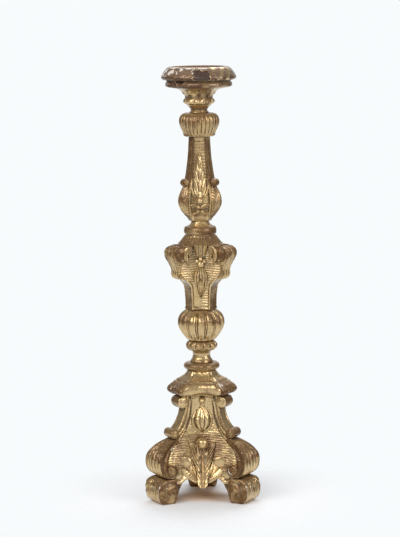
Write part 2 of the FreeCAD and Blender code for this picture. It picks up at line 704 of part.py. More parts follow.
def shoulder_collar():
    """Turned shoulder: a hollow slope up to a collar band and a short neck, tenoned into the vase."""
    band_low = Z_SHOULDER + 0.39 * SHOULDER_HEIGHT
    band_high = Z_SHOULDER + 0.75 * SHOULDER_HEIGHT
    root = 0.92 * SHOULDER_COLLAR_R
    shape = turned(
        (0.0, Z_SHOULDER),
        (SHOULDER_R, Z_SHOULDER),
        (root, band_low, -0.08 * SHOULDER_HEIGHT),
        (SHOULDER_COLLAR_R, band_low + (SHOULDER_COLLAR_R - root)),
        (SHOULDER_COLLAR_R, band_high - (SHOULDER_COLLAR_R - root)),
        (root, band_high),
        (SHOULDER_NECK_R, Z_BALUSTER, -0.06 * SHOULDER_HEIGHT),
        (0.0, Z_BALUSTER),
    )
    shape = with_tenon(shape, Z_SHOULDER, TENON_R, TENON_LENGTH)
    return with_mortise(shape, Z_BALUSTER, TENON_R, TENON_LENGTH)


def baluster_ground():
    """The three-sided pear shape before it is bored."""
    return three_sided(BALUSTER_LEVELS, BALUSTER_PLAN)


def baluster(ground):
    """Three-sided pear-shaped baluster, tenoned into the shoulder."""
    shape = with_tenon(ground, Z_BALUSTER, TENON_R, TENON_LENGTH)
    return with_mortise(shape, Z_CROWN, TENON_R, TENON_LENGTH)


def leaf_scroll(ground):
    """Leaf at the +X corner of the baluster: a swelling back with a curl at its top."""
    low = Z_BALUSTER + LEAF_SCROLL_RISE
    belly = low + 0.42 * LEAF_SCROLL_HEIGHT
    curl_level = low + LEAF_SCROLL_HEIGHT
    curl_reach = LEAF_SCROLL_REACH - 0.75 * LEAF_CURL_R
    back = BALUSTER_FOOT_FACE / 2
    foot_r = 1.25 * BALUSTER_FOOT_FACE
    curl_bow = upright_bow(LEAF_SCROLL_REACH - curl_reach + LEAF_CURL_R, curl_level - belly)
    profile = section_face(
        (back, low),
        (foot_r, low),
        (LEAF_SCROLL_REACH, belly, upright_bow(LEAF_SCROLL_REACH - foot_r, belly - low)),
        (curl_reach - LEAF_CURL_R, curl_level, curl_bow),
        (back, curl_level),
    )
    narrow = 0.6 * LEAF_SCROLL_HALF_WIDTH
    widths = ((narrow, 0.0), (LEAF_SCROLL_HALF_WIDTH, belly - low), (narrow, LEAF_SCROLL_HEIGHT))
    shape = bandsawn(profile, widths, low)
    curl = cross_cylinder(LEAF_CURL_R, narrow, curl_reach - LEAF_CURL_R, curl_level)
    return shape.fuse(curl).cut(facing_corner(ground))


def leaf_spray(ground):
    """Spray of leaves on the front panel of the baluster, above a bead."""
    bead_level = Z_BALUSTER + SPRAY_BEAD_RISE
    low = bead_level + 0.75 * SPRAY_BEAD_R
    blade = panel_prism((0.0, low), (0.0, low + SPRAY_LENGTH, SPRAY_HALF_WIDTH))
    rib = panel_prism((0.0, low), (0.0, low + SPRAY_LENGTH, SPRAY_RIB_R))
    spray = blade.common(three_sided(BALUSTER_LEVELS, BALUSTER_PLAN, SPRAY_RELIEF))
    raised = rib.common(three_sided(BALUSTER_LEVELS, BALUSTER_PLAN, SPRAY_RELIEF + SPRAY_RIB_R / 2))
    knob = bead(SPRAY_BEAD_R, face_at(BALUSTER_LEVELS, bead_level) + SPRAY_BEAD_R / 3, bead_level)
    return spray.fuse([raised, knob]).cut(ground)


def crown_knop():
    """Tulip-shaped knop of upright lobes over a flat lip, tenoned into the baluster."""
    lip_high = Z_CROWN + CROWN_LIP_HEIGHT
    lip_root = CROWN_LIP_R - CROWN_LIP_HEIGHT / 4
    foot_end = (lip_root, lip_high)
    belly = (CROWN_R, Z_CROWN + CROWN_BELLY_RISE)
    top_end = (CROWN_TOP_R, Z_CUP)
    shape = turned(
        (0.0, Z_CROWN),
        (lip_root, Z_CROWN),
        (*foot_end, CROWN_LIP_HEIGHT / 4),
        (*belly, upright_bow(CROWN_R - lip_root, belly[1] - lip_high)),
        (*top_end, upright_bow(CROWN_R - CROWN_TOP_R, Z_CUP - belly[1])),
        (0.0, Z_CUP),
    )
    shape = gadrooned(shape, foot_end, belly, top_end, CROWN_CREASE, CREASE_WIDTH, CROWN_LOBES)
    shape = with_tenon(shape, Z_CROWN, TENON_R, TENON_LENGTH)
    return with_mortise(shape, Z_CUP, TENON_R, TENON_LENGTH)


def candle_hole():
    """The hole that the candle cup drops into, through the pan and down into the cup below it."""
    radius = CANDLE_BORE_R + CANDLE_CUP_WALL + CANDLE_CUP_CLEARANCE
    return cylinder(radius, Z_DISH - CANDLE_CUP_DEPTH - CANDLE_CUP_WALL - TENON_END_GAP, Z_DISH)


def pan_cup():
    """Turned cup under the pan: a neck, a bead ring and a wide flare, with a socket for the pan's spigot."""
    ring_level = Z_CUP + 0.29 * CUP_HEIGHT
    bead_low = Z_CUP + 0.34 * CUP_HEIGHT
    bead_high = Z_CUP + 0.58 * CUP_HEIGHT
    ring_r = CUP_NECK_R + 0.55 * (CUP_BEAD_R - CUP_NECK_R)
    shape = turned(
        (0.0, Z_CUP),
        (1.25 * CUP_NECK_R, Z_CUP),
        (CUP_NECK_R, Z_CUP + 0.09 * CUP_HEIGHT, -0.01 * CUP_HEIGHT),
        (ring_r, ring_level, -0.04 * CUP_HEIGHT),
        (ring_r, bead_low),
        (CUP_WAIST_R, bead_high, CUP_BEAD_R - 0.5 * (ring_r + CUP_WAIST_R)),
        (CUP_WAIST_R, bead_high + 0.1 * CUP_HEIGHT),
        (CUP_FLARE_R, Z_PAN, -0.07 * CUP_HEIGHT),
        (0.0, Z_PAN),
    )
    shape = with_tenon(shape, Z_CUP, TENON_R, TENON_LENGTH)
    return with_mortise(shape, Z_PAN, PAN_SPIGOT_R, PAN_SPIGOT_LENGTH).cut(candle_hole())


def drip_pan():
    """Turned drip pan: a rounded lip, an undercut and a wide rim that rounds over into a dish."""
    lip_high = Z_PAN + 0.27 * PAN_HEIGHT
    rim_low = Z_PAN + 0.33 * PAN_HEIGHT
    rim_level = Z_PAN + 0.44 * PAN_HEIGHT
    lip_r = PAN_R - PAN_LIP_INSET
    lip_root = lip_r - 0.1 * PAN_HEIGHT
    rim_r = PAN_R - PAN_ROUND
    dish_r = rim_r - PAN_RIM_WIDTH
    rim_bow = upright_bow(PAN_ROUND, Z_TOP - rim_level)
    shape = turned(
        (0.0, Z_PAN),
        (lip_root, Z_PAN),
        (lip_root, lip_high, lip_r - lip_root),
        (lip_root, rim_low),
        (PAN_R, rim_level, 0.03 * PAN_HEIGHT),
        (rim_r, Z_TOP, rim_bow),
        (dish_r, Z_TOP),
        (dish_r - 0.3 * PAN_DISH_DEPTH, Z_DISH),
        (0.0, Z_DISH),
    )
    return with_tenon(shape, Z_PAN, PAN_SPIGOT_R, PAN_SPIGOT_LENGTH).cut(candle_hole())


def candle_cup():
    """Sheet-metal cup with a flange that rests on the floor of the pan."""
    outer = CANDLE_BORE_R + CANDLE_CUP_WALL
    floor = Z_DISH - CANDLE_CUP_DEPTH
    mouth = Z_DISH + CANDLE_CUP_WALL
    return turned(
        (0.0, floor - CANDLE_CUP_WALL),
        (outer, floor - CANDLE_CUP_WALL),
        (outer, Z_DISH),
        (CANDLE_FLANGE_R, Z_DISH),
        (CANDLE_FLANGE_R, mouth),
        (CANDLE_BORE_R, mouth),
        (CANDLE_BORE_R, floor),
        (0.0, floor),
    )


def foot_dowels():
    """The three dowels between the feet and the consoles, as one group."""
    return Part.makeCompound(list(copies("dowel", dowel(DOWEL_R, DOWEL_LENGTH), CORNERS).values()))


def all_pieces():
    """Every piece of the candlestick, by node name."""
    body = body_ground()
    vase_block = vase_ground()
    pear = baluster_ground()
    base_consoles = copies("corner_console", corner_console(body), CORNERS)
    vase_consoles = copies("vase_console", vase_console(vase_block), CORNERS)
    leaf = base_leaf(body, base_consoles.values())
    bud = base_bud(body, base_consoles.values())
    lappet = vase_lappet(vase_block, vase_consoles.values())
    pieces = {
        "foot_dowels": foot_dowels(),
        "base_body": base_body(body),
        "base_cap": base_cap(),
        "base_collar": base_collar(),
        "lower_neck": lower_neck(),
        "gadroon_knop": gadroon_knop(),
        "vase": vase(vase_block),
        "shoulder_collar": shoulder_collar(),
        "baluster": baluster(pear),
        "crown_knop": crown_knop(),
        "pan_cup": pan_cup(),
        "drip_pan": drip_pan(),
        "candle_cup": candle_cup(),
    }
    pieces.update(copies("foot", foot(), CORNERS))
    pieces.update(base_consoles)
    pieces.update(copies("cap_bracket", cap_bracket(body), CORNERS))
    pieces.update(vase_consoles)
    pieces.update(copies("leaf_scroll", leaf_scroll(pear), CORNERS))
    pieces.update(copies("base_leaf", leaf, PANELS))
    pieces.update(copies("base_bud", bud, PANELS))
    pieces.update(copies("vase_husk", vase_husk(vase_block), PANELS))
    pieces.update(copies("vase_lappet", lappet, PANELS))
    pieces.update(copies("leaf_spray", leaf_spray(pear), PANELS))
    return pieces


os.makedirs("parts", exist_ok=True)
for node, shape in all_pieces().items():
    shape.exportStep(os.path.join("parts", node + ".step"))
    state = "valid" if shape.isValid() else "not valid"
    print(node, len(shape.Solids), "solid", round(shape.Volume), "mm3", state)
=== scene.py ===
import json
import math

import bpy
import numpy as np
from mathutils import Matrix, Vector

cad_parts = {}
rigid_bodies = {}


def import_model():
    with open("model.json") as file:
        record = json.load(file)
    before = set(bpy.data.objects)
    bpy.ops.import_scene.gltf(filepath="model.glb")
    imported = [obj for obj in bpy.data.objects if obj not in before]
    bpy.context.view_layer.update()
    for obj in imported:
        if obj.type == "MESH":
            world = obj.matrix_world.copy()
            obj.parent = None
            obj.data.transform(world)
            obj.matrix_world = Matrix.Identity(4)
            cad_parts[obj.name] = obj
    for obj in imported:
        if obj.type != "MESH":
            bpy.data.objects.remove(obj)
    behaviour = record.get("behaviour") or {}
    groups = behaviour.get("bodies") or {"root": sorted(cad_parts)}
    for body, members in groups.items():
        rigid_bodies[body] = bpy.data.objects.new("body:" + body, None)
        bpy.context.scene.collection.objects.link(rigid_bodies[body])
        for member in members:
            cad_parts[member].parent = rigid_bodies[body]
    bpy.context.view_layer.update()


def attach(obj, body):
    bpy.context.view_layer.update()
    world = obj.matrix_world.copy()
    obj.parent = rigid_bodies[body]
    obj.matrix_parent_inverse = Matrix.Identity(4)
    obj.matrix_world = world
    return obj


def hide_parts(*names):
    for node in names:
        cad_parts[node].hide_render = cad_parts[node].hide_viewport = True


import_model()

MM = 0.001
TAU = 2 * math.pi
C30 = math.cos(math.radians(30))
S30 = 0.5

# Turn of each corner's outward direction from +X, and of each panel from the front one, in degrees
CORNERS = {"right": -30.0, "back": 90.0, "left": 210.0}
PANELS = {"front": 0.0, "rear_right": 120.0, "rear_left": 240.0}

# Unevenness of carved wood, and depth of an ornament's back in the ground behind it, in mm
TOOLED = 0.18
SUNK = 1.6

# Power by which a side of the base, and of the stem's sections, curves from its middle out to its ends
BASE_CURVE = 2.2
STEM_CURVE = 2.0

# Depth of the baluster's sunk panels in mm
PANEL_SINK = 1.2

# Rows of a rolled end: from the middle of a side to its rim, and over the barrel between the rims
ROLL_SIDE = 16
ROLL_FACE = 14

# What every carved point carries for the gilding: how far it stands out, how far it faces up, how bare it is
FIELDS = ("relief", "up", "bare")


# Curves and fields

def hermite(t, knots, values):
    """Cubic through the values at the knots, with each knot's slope taken from its two neighbours."""
    knots = np.asarray(knots, float)
    values = np.asarray(values, float)
    slope = np.gradient(values, knots, axis=0)
    i = np.clip(np.searchsorted(knots, t, "right") - 1, 0, len(knots) - 2)
    h = knots[i + 1] - knots[i]
    u = np.clip((t - knots[i]) / h, 0.0, 1.0)
    if values.ndim > 1:
        u = u[..., None]
        h = h[..., None]
    a = 2 * u ** 3 - 3 * u ** 2 + 1
    b = u ** 3 - 2 * u ** 2 + u
    c = 3 * u ** 2 - 2 * u ** 3
    d = u ** 3 - u ** 2
    return a * values[i] + b * h * slope[i] + c * values[i + 1] + d * h * slope[i + 1]


def through(z, *pairs):
    """A size that runs smoothly through (level, size) pairs, constant beyond both ends."""
    knots, values = zip(*pairs)
    return hermite(np.clip(z, knots[0], knots[-1]), knots, values)


def along(p):
    """Length along the chords from the first point to each point."""
    return np.r_[0.0, np.cumsum(np.linalg.norm(np.diff(p, axis=0), axis=1))]


def smooth_curve(points, count):
    """A smooth curve through the points, at even steps of the chords' length."""
    p = np.asarray(points, float)
    d = along(p)
    return hermite(np.linspace(0.0, d[-1], count), d, p)


def moulding(points, count, soften, closed=False):
    """Straight runs between the points at even steps, averaged over runs of `soften` to round corners."""
    p = np.asarray(points, float)
    if closed:
        p = np.concatenate([p, p[:1]])
    d = along(p)
    t = np.linspace(0.0, d[-1], count, endpoint=not closed)
    line = np.stack([np.interp(t, d, p[:, k]) for k in range(2)], 1)
    half = max(int(round(soften / d[-1] * count / 2)), 1)
    if closed:
        padded = np.concatenate([line[-half:], line, line[:half]])
    else:
        before = 2 * line[0] - line[1:half + 1][::-1]
        after = 2 * line[-1] - line[-half - 1:-1][::-1]
        padded = np.concatenate([before, line, after])
    weight = np.hanning(2 * half + 3)[1:-1]
    weight = weight / weight.sum()
    return np.stack([np.convolve(padded[:, k], weight, "valid") for k in range(2)], 1)


def ramp(x, low, high):
    """Smooth step from 0 at low to 1 at high."""
    t = np.clip((x - low) / (high - low), 0.0, 1.0)
    return t * t * (3 - 2 * t)


def hump(x, half):
    """Smooth round hump: 1 at x = 0, falling to 0 at half either side."""
    return np.clip(1 - (x / half) ** 2, 0.0, 1.0) ** 2


def reed(x):
    """Rounded rib once per unit of x, with a sharp crease between ribs: from 0 in the crease to 1."""
    u = 2 * (x - np.floor(x)) - 1
    return np.sqrt(np.clip(1 - u * u, 0.0, 1.0))


def reeding(x, sharp):
    """Ribs once per unit of x, a reed by the share `sharp` and else a wave: from -1 in the crease to 0."""
    return sharp * reed(x) + (1 - sharp) * (0.5 - 0.5 * np.cos(TAU * x)) - 1


def scratch(x, share):
    """Groove once per unit of x, `share` of the unit wide: 0 on the land and 1 at the groove's bottom."""
    u = (x - np.floor(x) - 0.5) / (share / 2)
    return hump(u, 1.0)


def uneven(points, seed, length):
    """Sum of seven plane waves of chance direction and phase, about `length` mm long, from about -1 to 1."""
    waves = 7
    rng = np.random.default_rng(seed)
    way = rng.normal(size=(waves, 3))
    way *= (TAU / length * rng.uniform(0.6, 1.7, waves) / np.linalg.norm(way, axis=1))[:, None]
    return np.sin(points @ way.T + rng.uniform(0, TAU, waves)).sum(-1) / 3.0


# Grids

def shift(a, k, axis, wrap):
    """The grid moved by k cells along an axis; it wraps round, or repeats its edge."""
    if wrap:
        return np.roll(a, k, axis)
    index = np.clip(np.arange(a.shape[axis]) - k, 0, a.shape[axis] - 1)
    return np.take(a, index, axis)


def unit(v):
    """Vectors brought to length 1."""
    return v / np.maximum(np.linalg.norm(v, axis=-1, keepdims=True), 1e-9)


def normals(grid, wrap_rows, wrap_round):
    """Unit cross products of the differences along the two ways of the grid."""
    du = shift(grid, -1, 1, wrap_round) - shift(grid, 1, 1, wrap_round)
    dv = shift(grid, -1, 0, wrap_rows) - shift(grid, 1, 0, wrap_rows)
    return unit(np.cross(du, dv))


def carve(grid, height, wrap_rows=False, wrap_round=True):
    """Moves each point of the grid along its normal by its height."""
    return grid + normals(grid, wrap_rows, wrap_round) * height[..., None]


def turn(grid, degrees):
    """The grid turned about the stem's axis."""
    c = math.cos(math.radians(degrees))
    s = math.sin(math.radians(degrees))
    x = grid[..., 0]
    y = grid[..., 1]
    return np.stack([c * x - s * y, s * x + c * y, grid[..., 2]], -1)


def averaged(grid, wrap, reach):
    """Mean of each point's neighbours within about `reach` mm both ways, taken twice."""
    du = np.linalg.norm(shift(grid, -1, 1, True) - grid, axis=-1).mean()
    dv = np.linalg.norm(shift(grid, -1, 0, wrap) - grid, axis=-1).mean()
    soft = grid
    for axis, step, round_way in ((1, du, True), (0, dv, wrap), (1, du, True), (0, dv, wrap)):
        k = int(np.clip(round(reach / max(step, 1e-6)), 1, 10))
        soft = sum(shift(soft, i, axis, round_way) for i in range(-k, k + 1)) / (2 * k + 1)
    return soft


class Shell:
    """A closed surface of rings, which are rows of points; end rows close on a pole unless rows wrap.

    Relief is a point's distance outside the mean of its neighbours within NEAR mm, 1 at FULL mm and more.
    """

    NEAR = 2.2
    FULL = 0.42

    def __init__(self, rings, bare=0.0, wrap=False, rough=TOOLED, seed=1):
        rings = np.asarray(rings, float)
        if self.volume(rings, wrap) < 0:
            rings = rings[:, ::-1]
            bare = bare[:, ::-1] if np.ndim(bare) else bare
        if rough:
            lumps = uneven(rings, seed, 17.0) + 0.5 * uneven(rings, seed + 50, 5.0)
            rings = carve(rings, rough * lumps, wrap)
        self.rings = rings
        self.wrap = wrap
        n = normals(rings, wrap, True)
        stands_out = ((rings - averaged(rings, wrap, self.NEAR)) * n).sum(-1)
        self.relief = np.clip(stands_out / self.FULL, -1.0, 1.0)
        self.up = n[..., 2]
        self.bare = np.broadcast_to(np.asarray(bare, float), rings.shape[:2])

    @staticmethod
    def faces(m, n, wrap):
        """Corner numbers of the grid's quads, row by row."""
        i = np.arange(m if wrap else m - 1)[:, None]
        j = np.arange(n)[None, :]
        i2 = (i + 1) % m
        j2 = (j + 1) % n
        return np.stack([i * n + j, i * n + j2, i2 * n + j2, i2 * n + j], -1).reshape(-1, 4)

    @classmethod
    def volume(cls, rings, wrap):
        """Signed volume that the rings and the fans over their end rows enclose, times six."""
        m, n = rings.shape[:2]
        p = rings.reshape(-1, 3)
        q = cls.faces(m, n, wrap)
        total = (p[q[:, 0]] * np.cross(p[q[:, 1]], p[q[:, 2]])).sum()
        total += (p[q[:, 0]] * np.cross(p[q[:, 2]], p[q[:, 3]])).sum()
        if not wrap:
            for ring, way in ((rings[0], -1), (rings[-1], 1)):
                pole = ring.mean(0)
                total += way * (pole * np.cross(ring, np.roll(ring, -1, 0))).sum()
        return total

    def mesh_arrays(self):
        """Points, quads and triangles, and the three fields; end rows get a pole each."""
        m, n = self.rings.shape[:2]
        fields = np.stack([self.relief, self.up, self.bare], -1).reshape(-1, 3)
        p = self.rings.reshape(-1, 3)
        quads = self.faces(m, n, self.wrap)
        if self.wrap:
            return p, quads, np.zeros((0, 3), int), fields
        j = np.arange(n)
        j2 = (j + 1) % n
        low = np.stack([np.full(n, m * n), j2, j], -1)
        high = np.stack([np.full(n, m * n + 1), (m - 1) * n + j, (m - 1) * n + j2], -1)
        p = np.concatenate([p, self.rings[:1].mean(1), self.rings[-1:].mean(1)])
        ends = np.stack([fields[:n].mean(0), fields[-n:].mean(0)])
        return p, quads, np.concatenate([low, high]), np.concatenate([fields, ends])


def shells_of(forms, seed, rough=TOOLED):
    """Shells of (rings, bare) pairs, each with the next seed."""
    return [Shell(rings, bare, rough=rough, seed=seed + k) for k, (rings, bare) in enumerate(forms)]


def piece(name, shells, node, slot="old_gilding"):
    """One object from closed shells, in place, that stands for a CAD node and takes its slot's finish."""
    arrays = []
    base = 0
    for shell in shells:
        p, q, t, f = shell.mesh_arrays()
        arrays.append((p, q + base, t + base, f))
        base += len(p)
    points, quads, threes, fields = (np.concatenate(part) for part in zip(*arrays))
    points = points * MM
    corners = np.concatenate([quads.ravel(), threes.ravel()]).astype(np.int32)
    starts = np.concatenate([np.arange(len(quads)) * 4, len(quads) * 4 + np.arange(len(threes)) * 3])
    mesh = bpy.data.meshes.new(name)
    mesh.vertices.add(len(points))
    mesh.vertices.foreach_set("co", points.astype(np.float32).ravel())
    mesh.loops.add(len(corners))
    mesh.loops.foreach_set("vertex_index", corners)
    mesh.polygons.add(len(starts))
    mesh.polygons.foreach_set("loop_start", starts.astype(np.int32))
    mesh.polygons.foreach_set("use_smooth", np.ones(len(starts), bool))
    for k, field in enumerate(FIELDS):
        data = mesh.attributes.new(field, "FLOAT", "POINT").data
        data.foreach_set("value", fields[:, k].astype(np.float32))
    mesh.update(calc_edges=True)
    mesh.validate()
    mesh.materials.append(GILDINGS[slot])
    obj = bpy.data.objects.new(name, mesh)
    bpy.context.scene.collection.objects.link(obj)
    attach(obj, "stick")
    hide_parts(node)


# Kinds of carved form

def lathe(profile, count, height=None):
    """Rings of a turned form: each profile point (r, z) goes round the axis, with r + height(angle, r, z)."""
    angle = np.linspace(0, TAU, count, endpoint=False)[None, :] - math.pi / 2
    r = profile[:, :1]
    z = profile[:, 1:]
    if height is not None:
        r = r + height(angle, r, z)
    return np.stack([r * np.cos(angle), r * np.sin(angle), z + 0 * angle], -1)


def side_end(edge_r, edge_w):
    """End (x, out) of a front side: at edge_r along the corner's direction and edge_w towards the side."""
    return C30 * edge_r - S30 * edge_w, S30 * edge_r + C30 * edge_w


def side_grid(z, s, face, edge, power):
    """Front side of a three-sided form at share s: x = s * xe, out = face + (oe - face) * |s| ** power.

    (xe, oe) is the side's end, and face the distance from the axis to its middle; rows are at the levels z.
    """
    xe, oe = side_end(*edge)
    out = face + (oe - face) * np.abs(s) ** power
    return np.stack([s * xe, -out, z + 0 * s], -1)


def side_ground(x, face, edge, power):
    """Outward distance of a side at x: the curve of side_grid, with the share taken as |x| / xe."""
    xe, oe = side_end(*edge)
    return face + (oe - face) * np.clip(np.abs(x) / xe, 0, 1) ** power


def around(side, flats):
    """Three turned copies of a side joined by straight corner flats, as one ring in each row."""
    share = (np.arange(flats) + 1.0) / (flats + 1)
    start = side[:, -1:]
    end = turn(side[:, :1], 120.0)
    flat = start + (end - start) * share[None, :, None]
    third = np.concatenate([side, flat], 1)
    return np.concatenate([third, turn(third, 120.0), turn(third, 240.0)], 1)


def thrice(side_field, flat_value, flats):
    """A field of one side repeated for three sides, with one value on the corner flats."""
    flat = np.full((side_field.shape[0], flats), flat_value, float)
    third = np.concatenate([side_field, flat], 1)
    return np.concatenate([third, third, third], 1)


def run_round(columns, flats):
    """Place along the rings of around(): from -1 to 1 on each side, and on to 2 over the flat after it."""
    flat = 1 + (np.arange(flats) + 1.0) / (flats + 1)
    return np.tile(np.concatenate([np.linspace(-1, 1, columns), flat]), 3)[None, :]


def at_corner(r, a, z, place):
    """Points given by radius, distance across and level at the +X corner, turned to a named corner."""
    return turn(np.stack(np.broadcast_arrays(r, a, z), -1), CORNERS[place])


def from_corner(grid, place):
    """Radius, distance across and level of points at a named corner."""
    return np.moveaxis(turn(grid, -CORNERS[place]), -1, 0)


def on_panel(x, out, z, place):
    """Points given across, outward and up on the front panel, turned to a named panel."""
    return turn(np.stack(np.broadcast_arrays(x, -out, z), -1), PANELS[place])


def slab(outline, centre, half_width, face_height, side_height, place, sides, across, edge):
    """Corner piece: a closed outline (r, z) carried across, its two sides filled in towards a centre.

    Rows run from the centre of one side out to the rim, over the face, and in to the other side's centre.
    On a side row the outline is shrunk to the share k about the centre and stands at half_width plus
    side_height(distance, angle, k); on a face row at share a it is moved outwards by face_height(a, run).
    The outer `edge` of a side is rounded off as a quarter circle.
    """
    q = outline - centre
    ahead = np.roll(outline, -1, 0) - np.roll(outline, 1, 0)
    outward = unit(np.stack([ahead[:, 1], -ahead[:, 0]], -1))
    if (outward * q).sum() < 0:
        outward = -outward
    run = np.linspace(0, 1, len(outline), endpoint=False)[None, :]
    k = np.sin(np.linspace(0.03, 1, sides) * math.pi / 2)[:, None]
    spot = centre + k[..., None] * q[None]
    distance = np.linalg.norm(spot - centre, axis=-1)
    angle = np.arctan2(q[:, 1], q[:, 0])[None, :]
    wide = half_width(spot[..., 0], spot[..., 1])
    out = wide + side_height(distance, angle, k)
    round_off = np.sqrt(np.clip(1 - np.clip((k - (1 - edge)) / edge, 0, 1) ** 2, 0, 1))
    rim = wide * (1 - edge * 0.35)
    out = rim + (out - rim) * round_off
    a = np.linspace(-1, 1, across + 2)[1:-1, None]
    face = outline[None] + outward[None] * face_height(a, run)[..., None]
    face_a = a * half_width(outline[:, 0], outline[:, 1])[None, :] * (1 - edge * 0.35)
    low = at_corner(spot[..., 0], -out, spot[..., 1], place)
    middle = at_corner(face[..., 0], face_a, face[..., 1], place)
    high = at_corner(spot[::-1, :, 0], out[::-1], spot[::-1, :, 1], place)
    return np.concatenate([low, middle, high])


def roll(r, z, radius, half_width, place, barrel, groove, turns=1.0, dome=1.0, way=1, count=64):
    """Rolled end: a barrel across the corner whose two ends are domed and cut by a spiral groove.

    The barrel swells by barrel * radius * (1 - a ** 2) at share a across, and an end by dome * (1 - k ** 2).
    The groove lies where distance / radius = share of the turn, counted in `turns` from the eye to the rim.
    """
    centre = np.array([r, z])
    angle = np.linspace(0, TAU, count, endpoint=False)
    outline = centre + radius * np.stack([np.cos(angle), np.sin(angle)], -1)

    def side_height(distance, bearing, k):
        """A dome that falls with k ** 2, less the spiral groove between the eye and the rim."""
        lap = turns * distance / radius - way * bearing / TAU
        cut = scratch(lap, 0.34) * ramp(k, 0.28, 0.42) * (1 - ramp(k, 0.86, 0.98))
        return dome * (1 - k ** 2) - groove * cut

    def face_height(a, run):
        """Swell of the barrel: highest at the middle, none at the rims."""
        return barrel * radius * (1 - a ** 2) + 0 * run

    return slab(outline, centre, lambda rr, zz: half_width + 0 * rr, face_height, side_height, place,
                ROLL_SIDE, ROLL_FACE, 0.2)


def strap(path, half_width, depth, face_height, place, across, side_dent):
    """Scroll band at a corner: a rectangular section with a carved outer face carried along a path (r, z).

    The outer face spans -half_width to half_width and is lifted by face_height(a, t); the sides go in by
    depth along the path's inward normal, with a shallow dent along their middle.
    """
    ahead = unit(np.gradient(path, axis=0))
    outward = np.stack([-ahead[:, 1], ahead[:, 0]], -1)
    t = np.linspace(0, 1, len(path))[:, None]
    a_face = np.sin(np.linspace(-1, 1, across) * math.pi / 2)[None, :]
    rounded = -0.9 * np.abs(a_face) ** 14
    inset = np.linspace(0.08, 1, 9)[None, :]
    a_side = 1 - side_dent * hump(inset - 0.5, 0.34) - 0.05 * ramp(inset, 0.8, 1.0)
    a_back = np.linspace(0.8, -0.8, 6)[None, :]
    a = np.concatenate([a_face, a_side, a_back, -a_side[:, ::-1]], 1) + 0 * t
    o = np.concatenate([face_height(a_face, t) + rounded, -depth * inset, -depth + 0 * a_back,
                        -depth * inset[:, ::-1]], 1)
    r = path[:, :1] + outward[:, :1] * o
    z = path[:, 1:] + outward[:, 1:] * o
    return at_corner(r, a * half_width, z, place)


def leaflet(points, width, height, ground, place, way=1, spine=0.5, ribs=0, taper=(0.5, 0.75)):
    """Raised leaf on a panel: a section carried along a curve (x, z), mirrored where way is -1.

    At share t of the curve its half width is width * t ** taper[0] * (1 - t) ** taper[1], scaled to 1 at its
    largest. Across it, with c = cos(w), the front is height * sin(w) ** 0.7, with a spine at the middle and
    `ribs` fine furrows; the back lies sunk in the ground.
    """
    steps = 34
    line = smooth_curve(np.asarray(points, float) * (way, 1), steps)
    ahead = unit(np.gradient(line, axis=0))
    t = np.linspace(0, 1, steps)[:, None]
    shape = np.clip(t, 0.004, 1) ** taper[0] * np.clip(1 - t, 0.004, 1) ** taper[1]
    shape = shape / shape.max()
    w = np.linspace(0, TAU, 36, endpoint=False)[None, :]
    c = np.cos(w)
    front = np.clip(np.sin(w), 0, 1) ** 0.7
    ridge = 1 + spine * hump(c, 0.3) - 0.22 * spine * hump(np.abs(c) - 0.45, 0.3)
    lift = height * shape ** 0.6 * front * ridge
    if ribs:
        lift = lift - 0.16 * height * scratch(c * ribs / 2 + 0.25, 0.5) * front
    x = line[:, :1] - ahead[:, 1:] * c * width * shape
    z = line[:, 1:] + ahead[:, :1] * c * width * shape
    out = ground(x, z) + lift - SUNK * np.clip(-np.sin(w), 0, 1) ** 0.5
    return on_panel(x, out, z, place)


def plaque(x, z, height, ground, place):
    """Raised field on a panel: a grid (x, z) at ground + height, closed by its copy sunk in the ground."""
    x = x + 0 * z
    front = on_panel(x, ground(x, z) + height, z, place)
    back = on_panel(x, ground(x, z) - SUNK, z, place)
    return np.concatenate([front, back[:, ::-1]], 1)


def knob(x, z, radius, ground, place, proud, flat=1.0, petals=0):
    """Bead on a panel: rings of a ball, flattened by `flat`, about a centre proud * radius off the ground.

    With petals, its outline is drawn in between them by up to 0.16 of the radius.
    """
    v = np.linspace(-math.pi / 2, math.pi / 2, 20)[1:-1, None]
    w = np.linspace(0, TAU, 30, endpoint=False)[None, :]
    size = radius * np.ones_like(w)
    if petals:
        size = radius * (1 - 0.16 * (1 - reed(petals * w / TAU)))
    px = x + size * np.cos(v) * np.cos(w)
    pz = z + size * np.cos(v) * np.sin(w)
    out = ground(np.array(x), np.array(z)) + proud * radius + radius * flat * np.sin(v) + 0 * w
    return on_panel(px, out, pz, place)


def pod(z_low, z_high, radius, ground, place, lobes, cut, flat=0.85):
    """Bud on a panel: a lemon of radius * sin(pi * t ** 0.9) ** 0.8 at share t, cut into upright lobes."""
    t = np.linspace(0.01, 0.99, 50)[:, None]
    w = np.linspace(0, TAU, 120, endpoint=False)[None, :]
    size = radius * np.sin(math.pi * t ** 0.9) ** 0.8
    size = size * (1 - cut * (1 - reed(lobes * w / TAU + 0.5)))
    z = z_low + (z_high - z_low) * t + 0 * w
    out = ground(0 * z, z) + 0.1 * radius + flat * size * np.sin(w)
    return on_panel(size * np.cos(w), out, z, place)


# Finishes

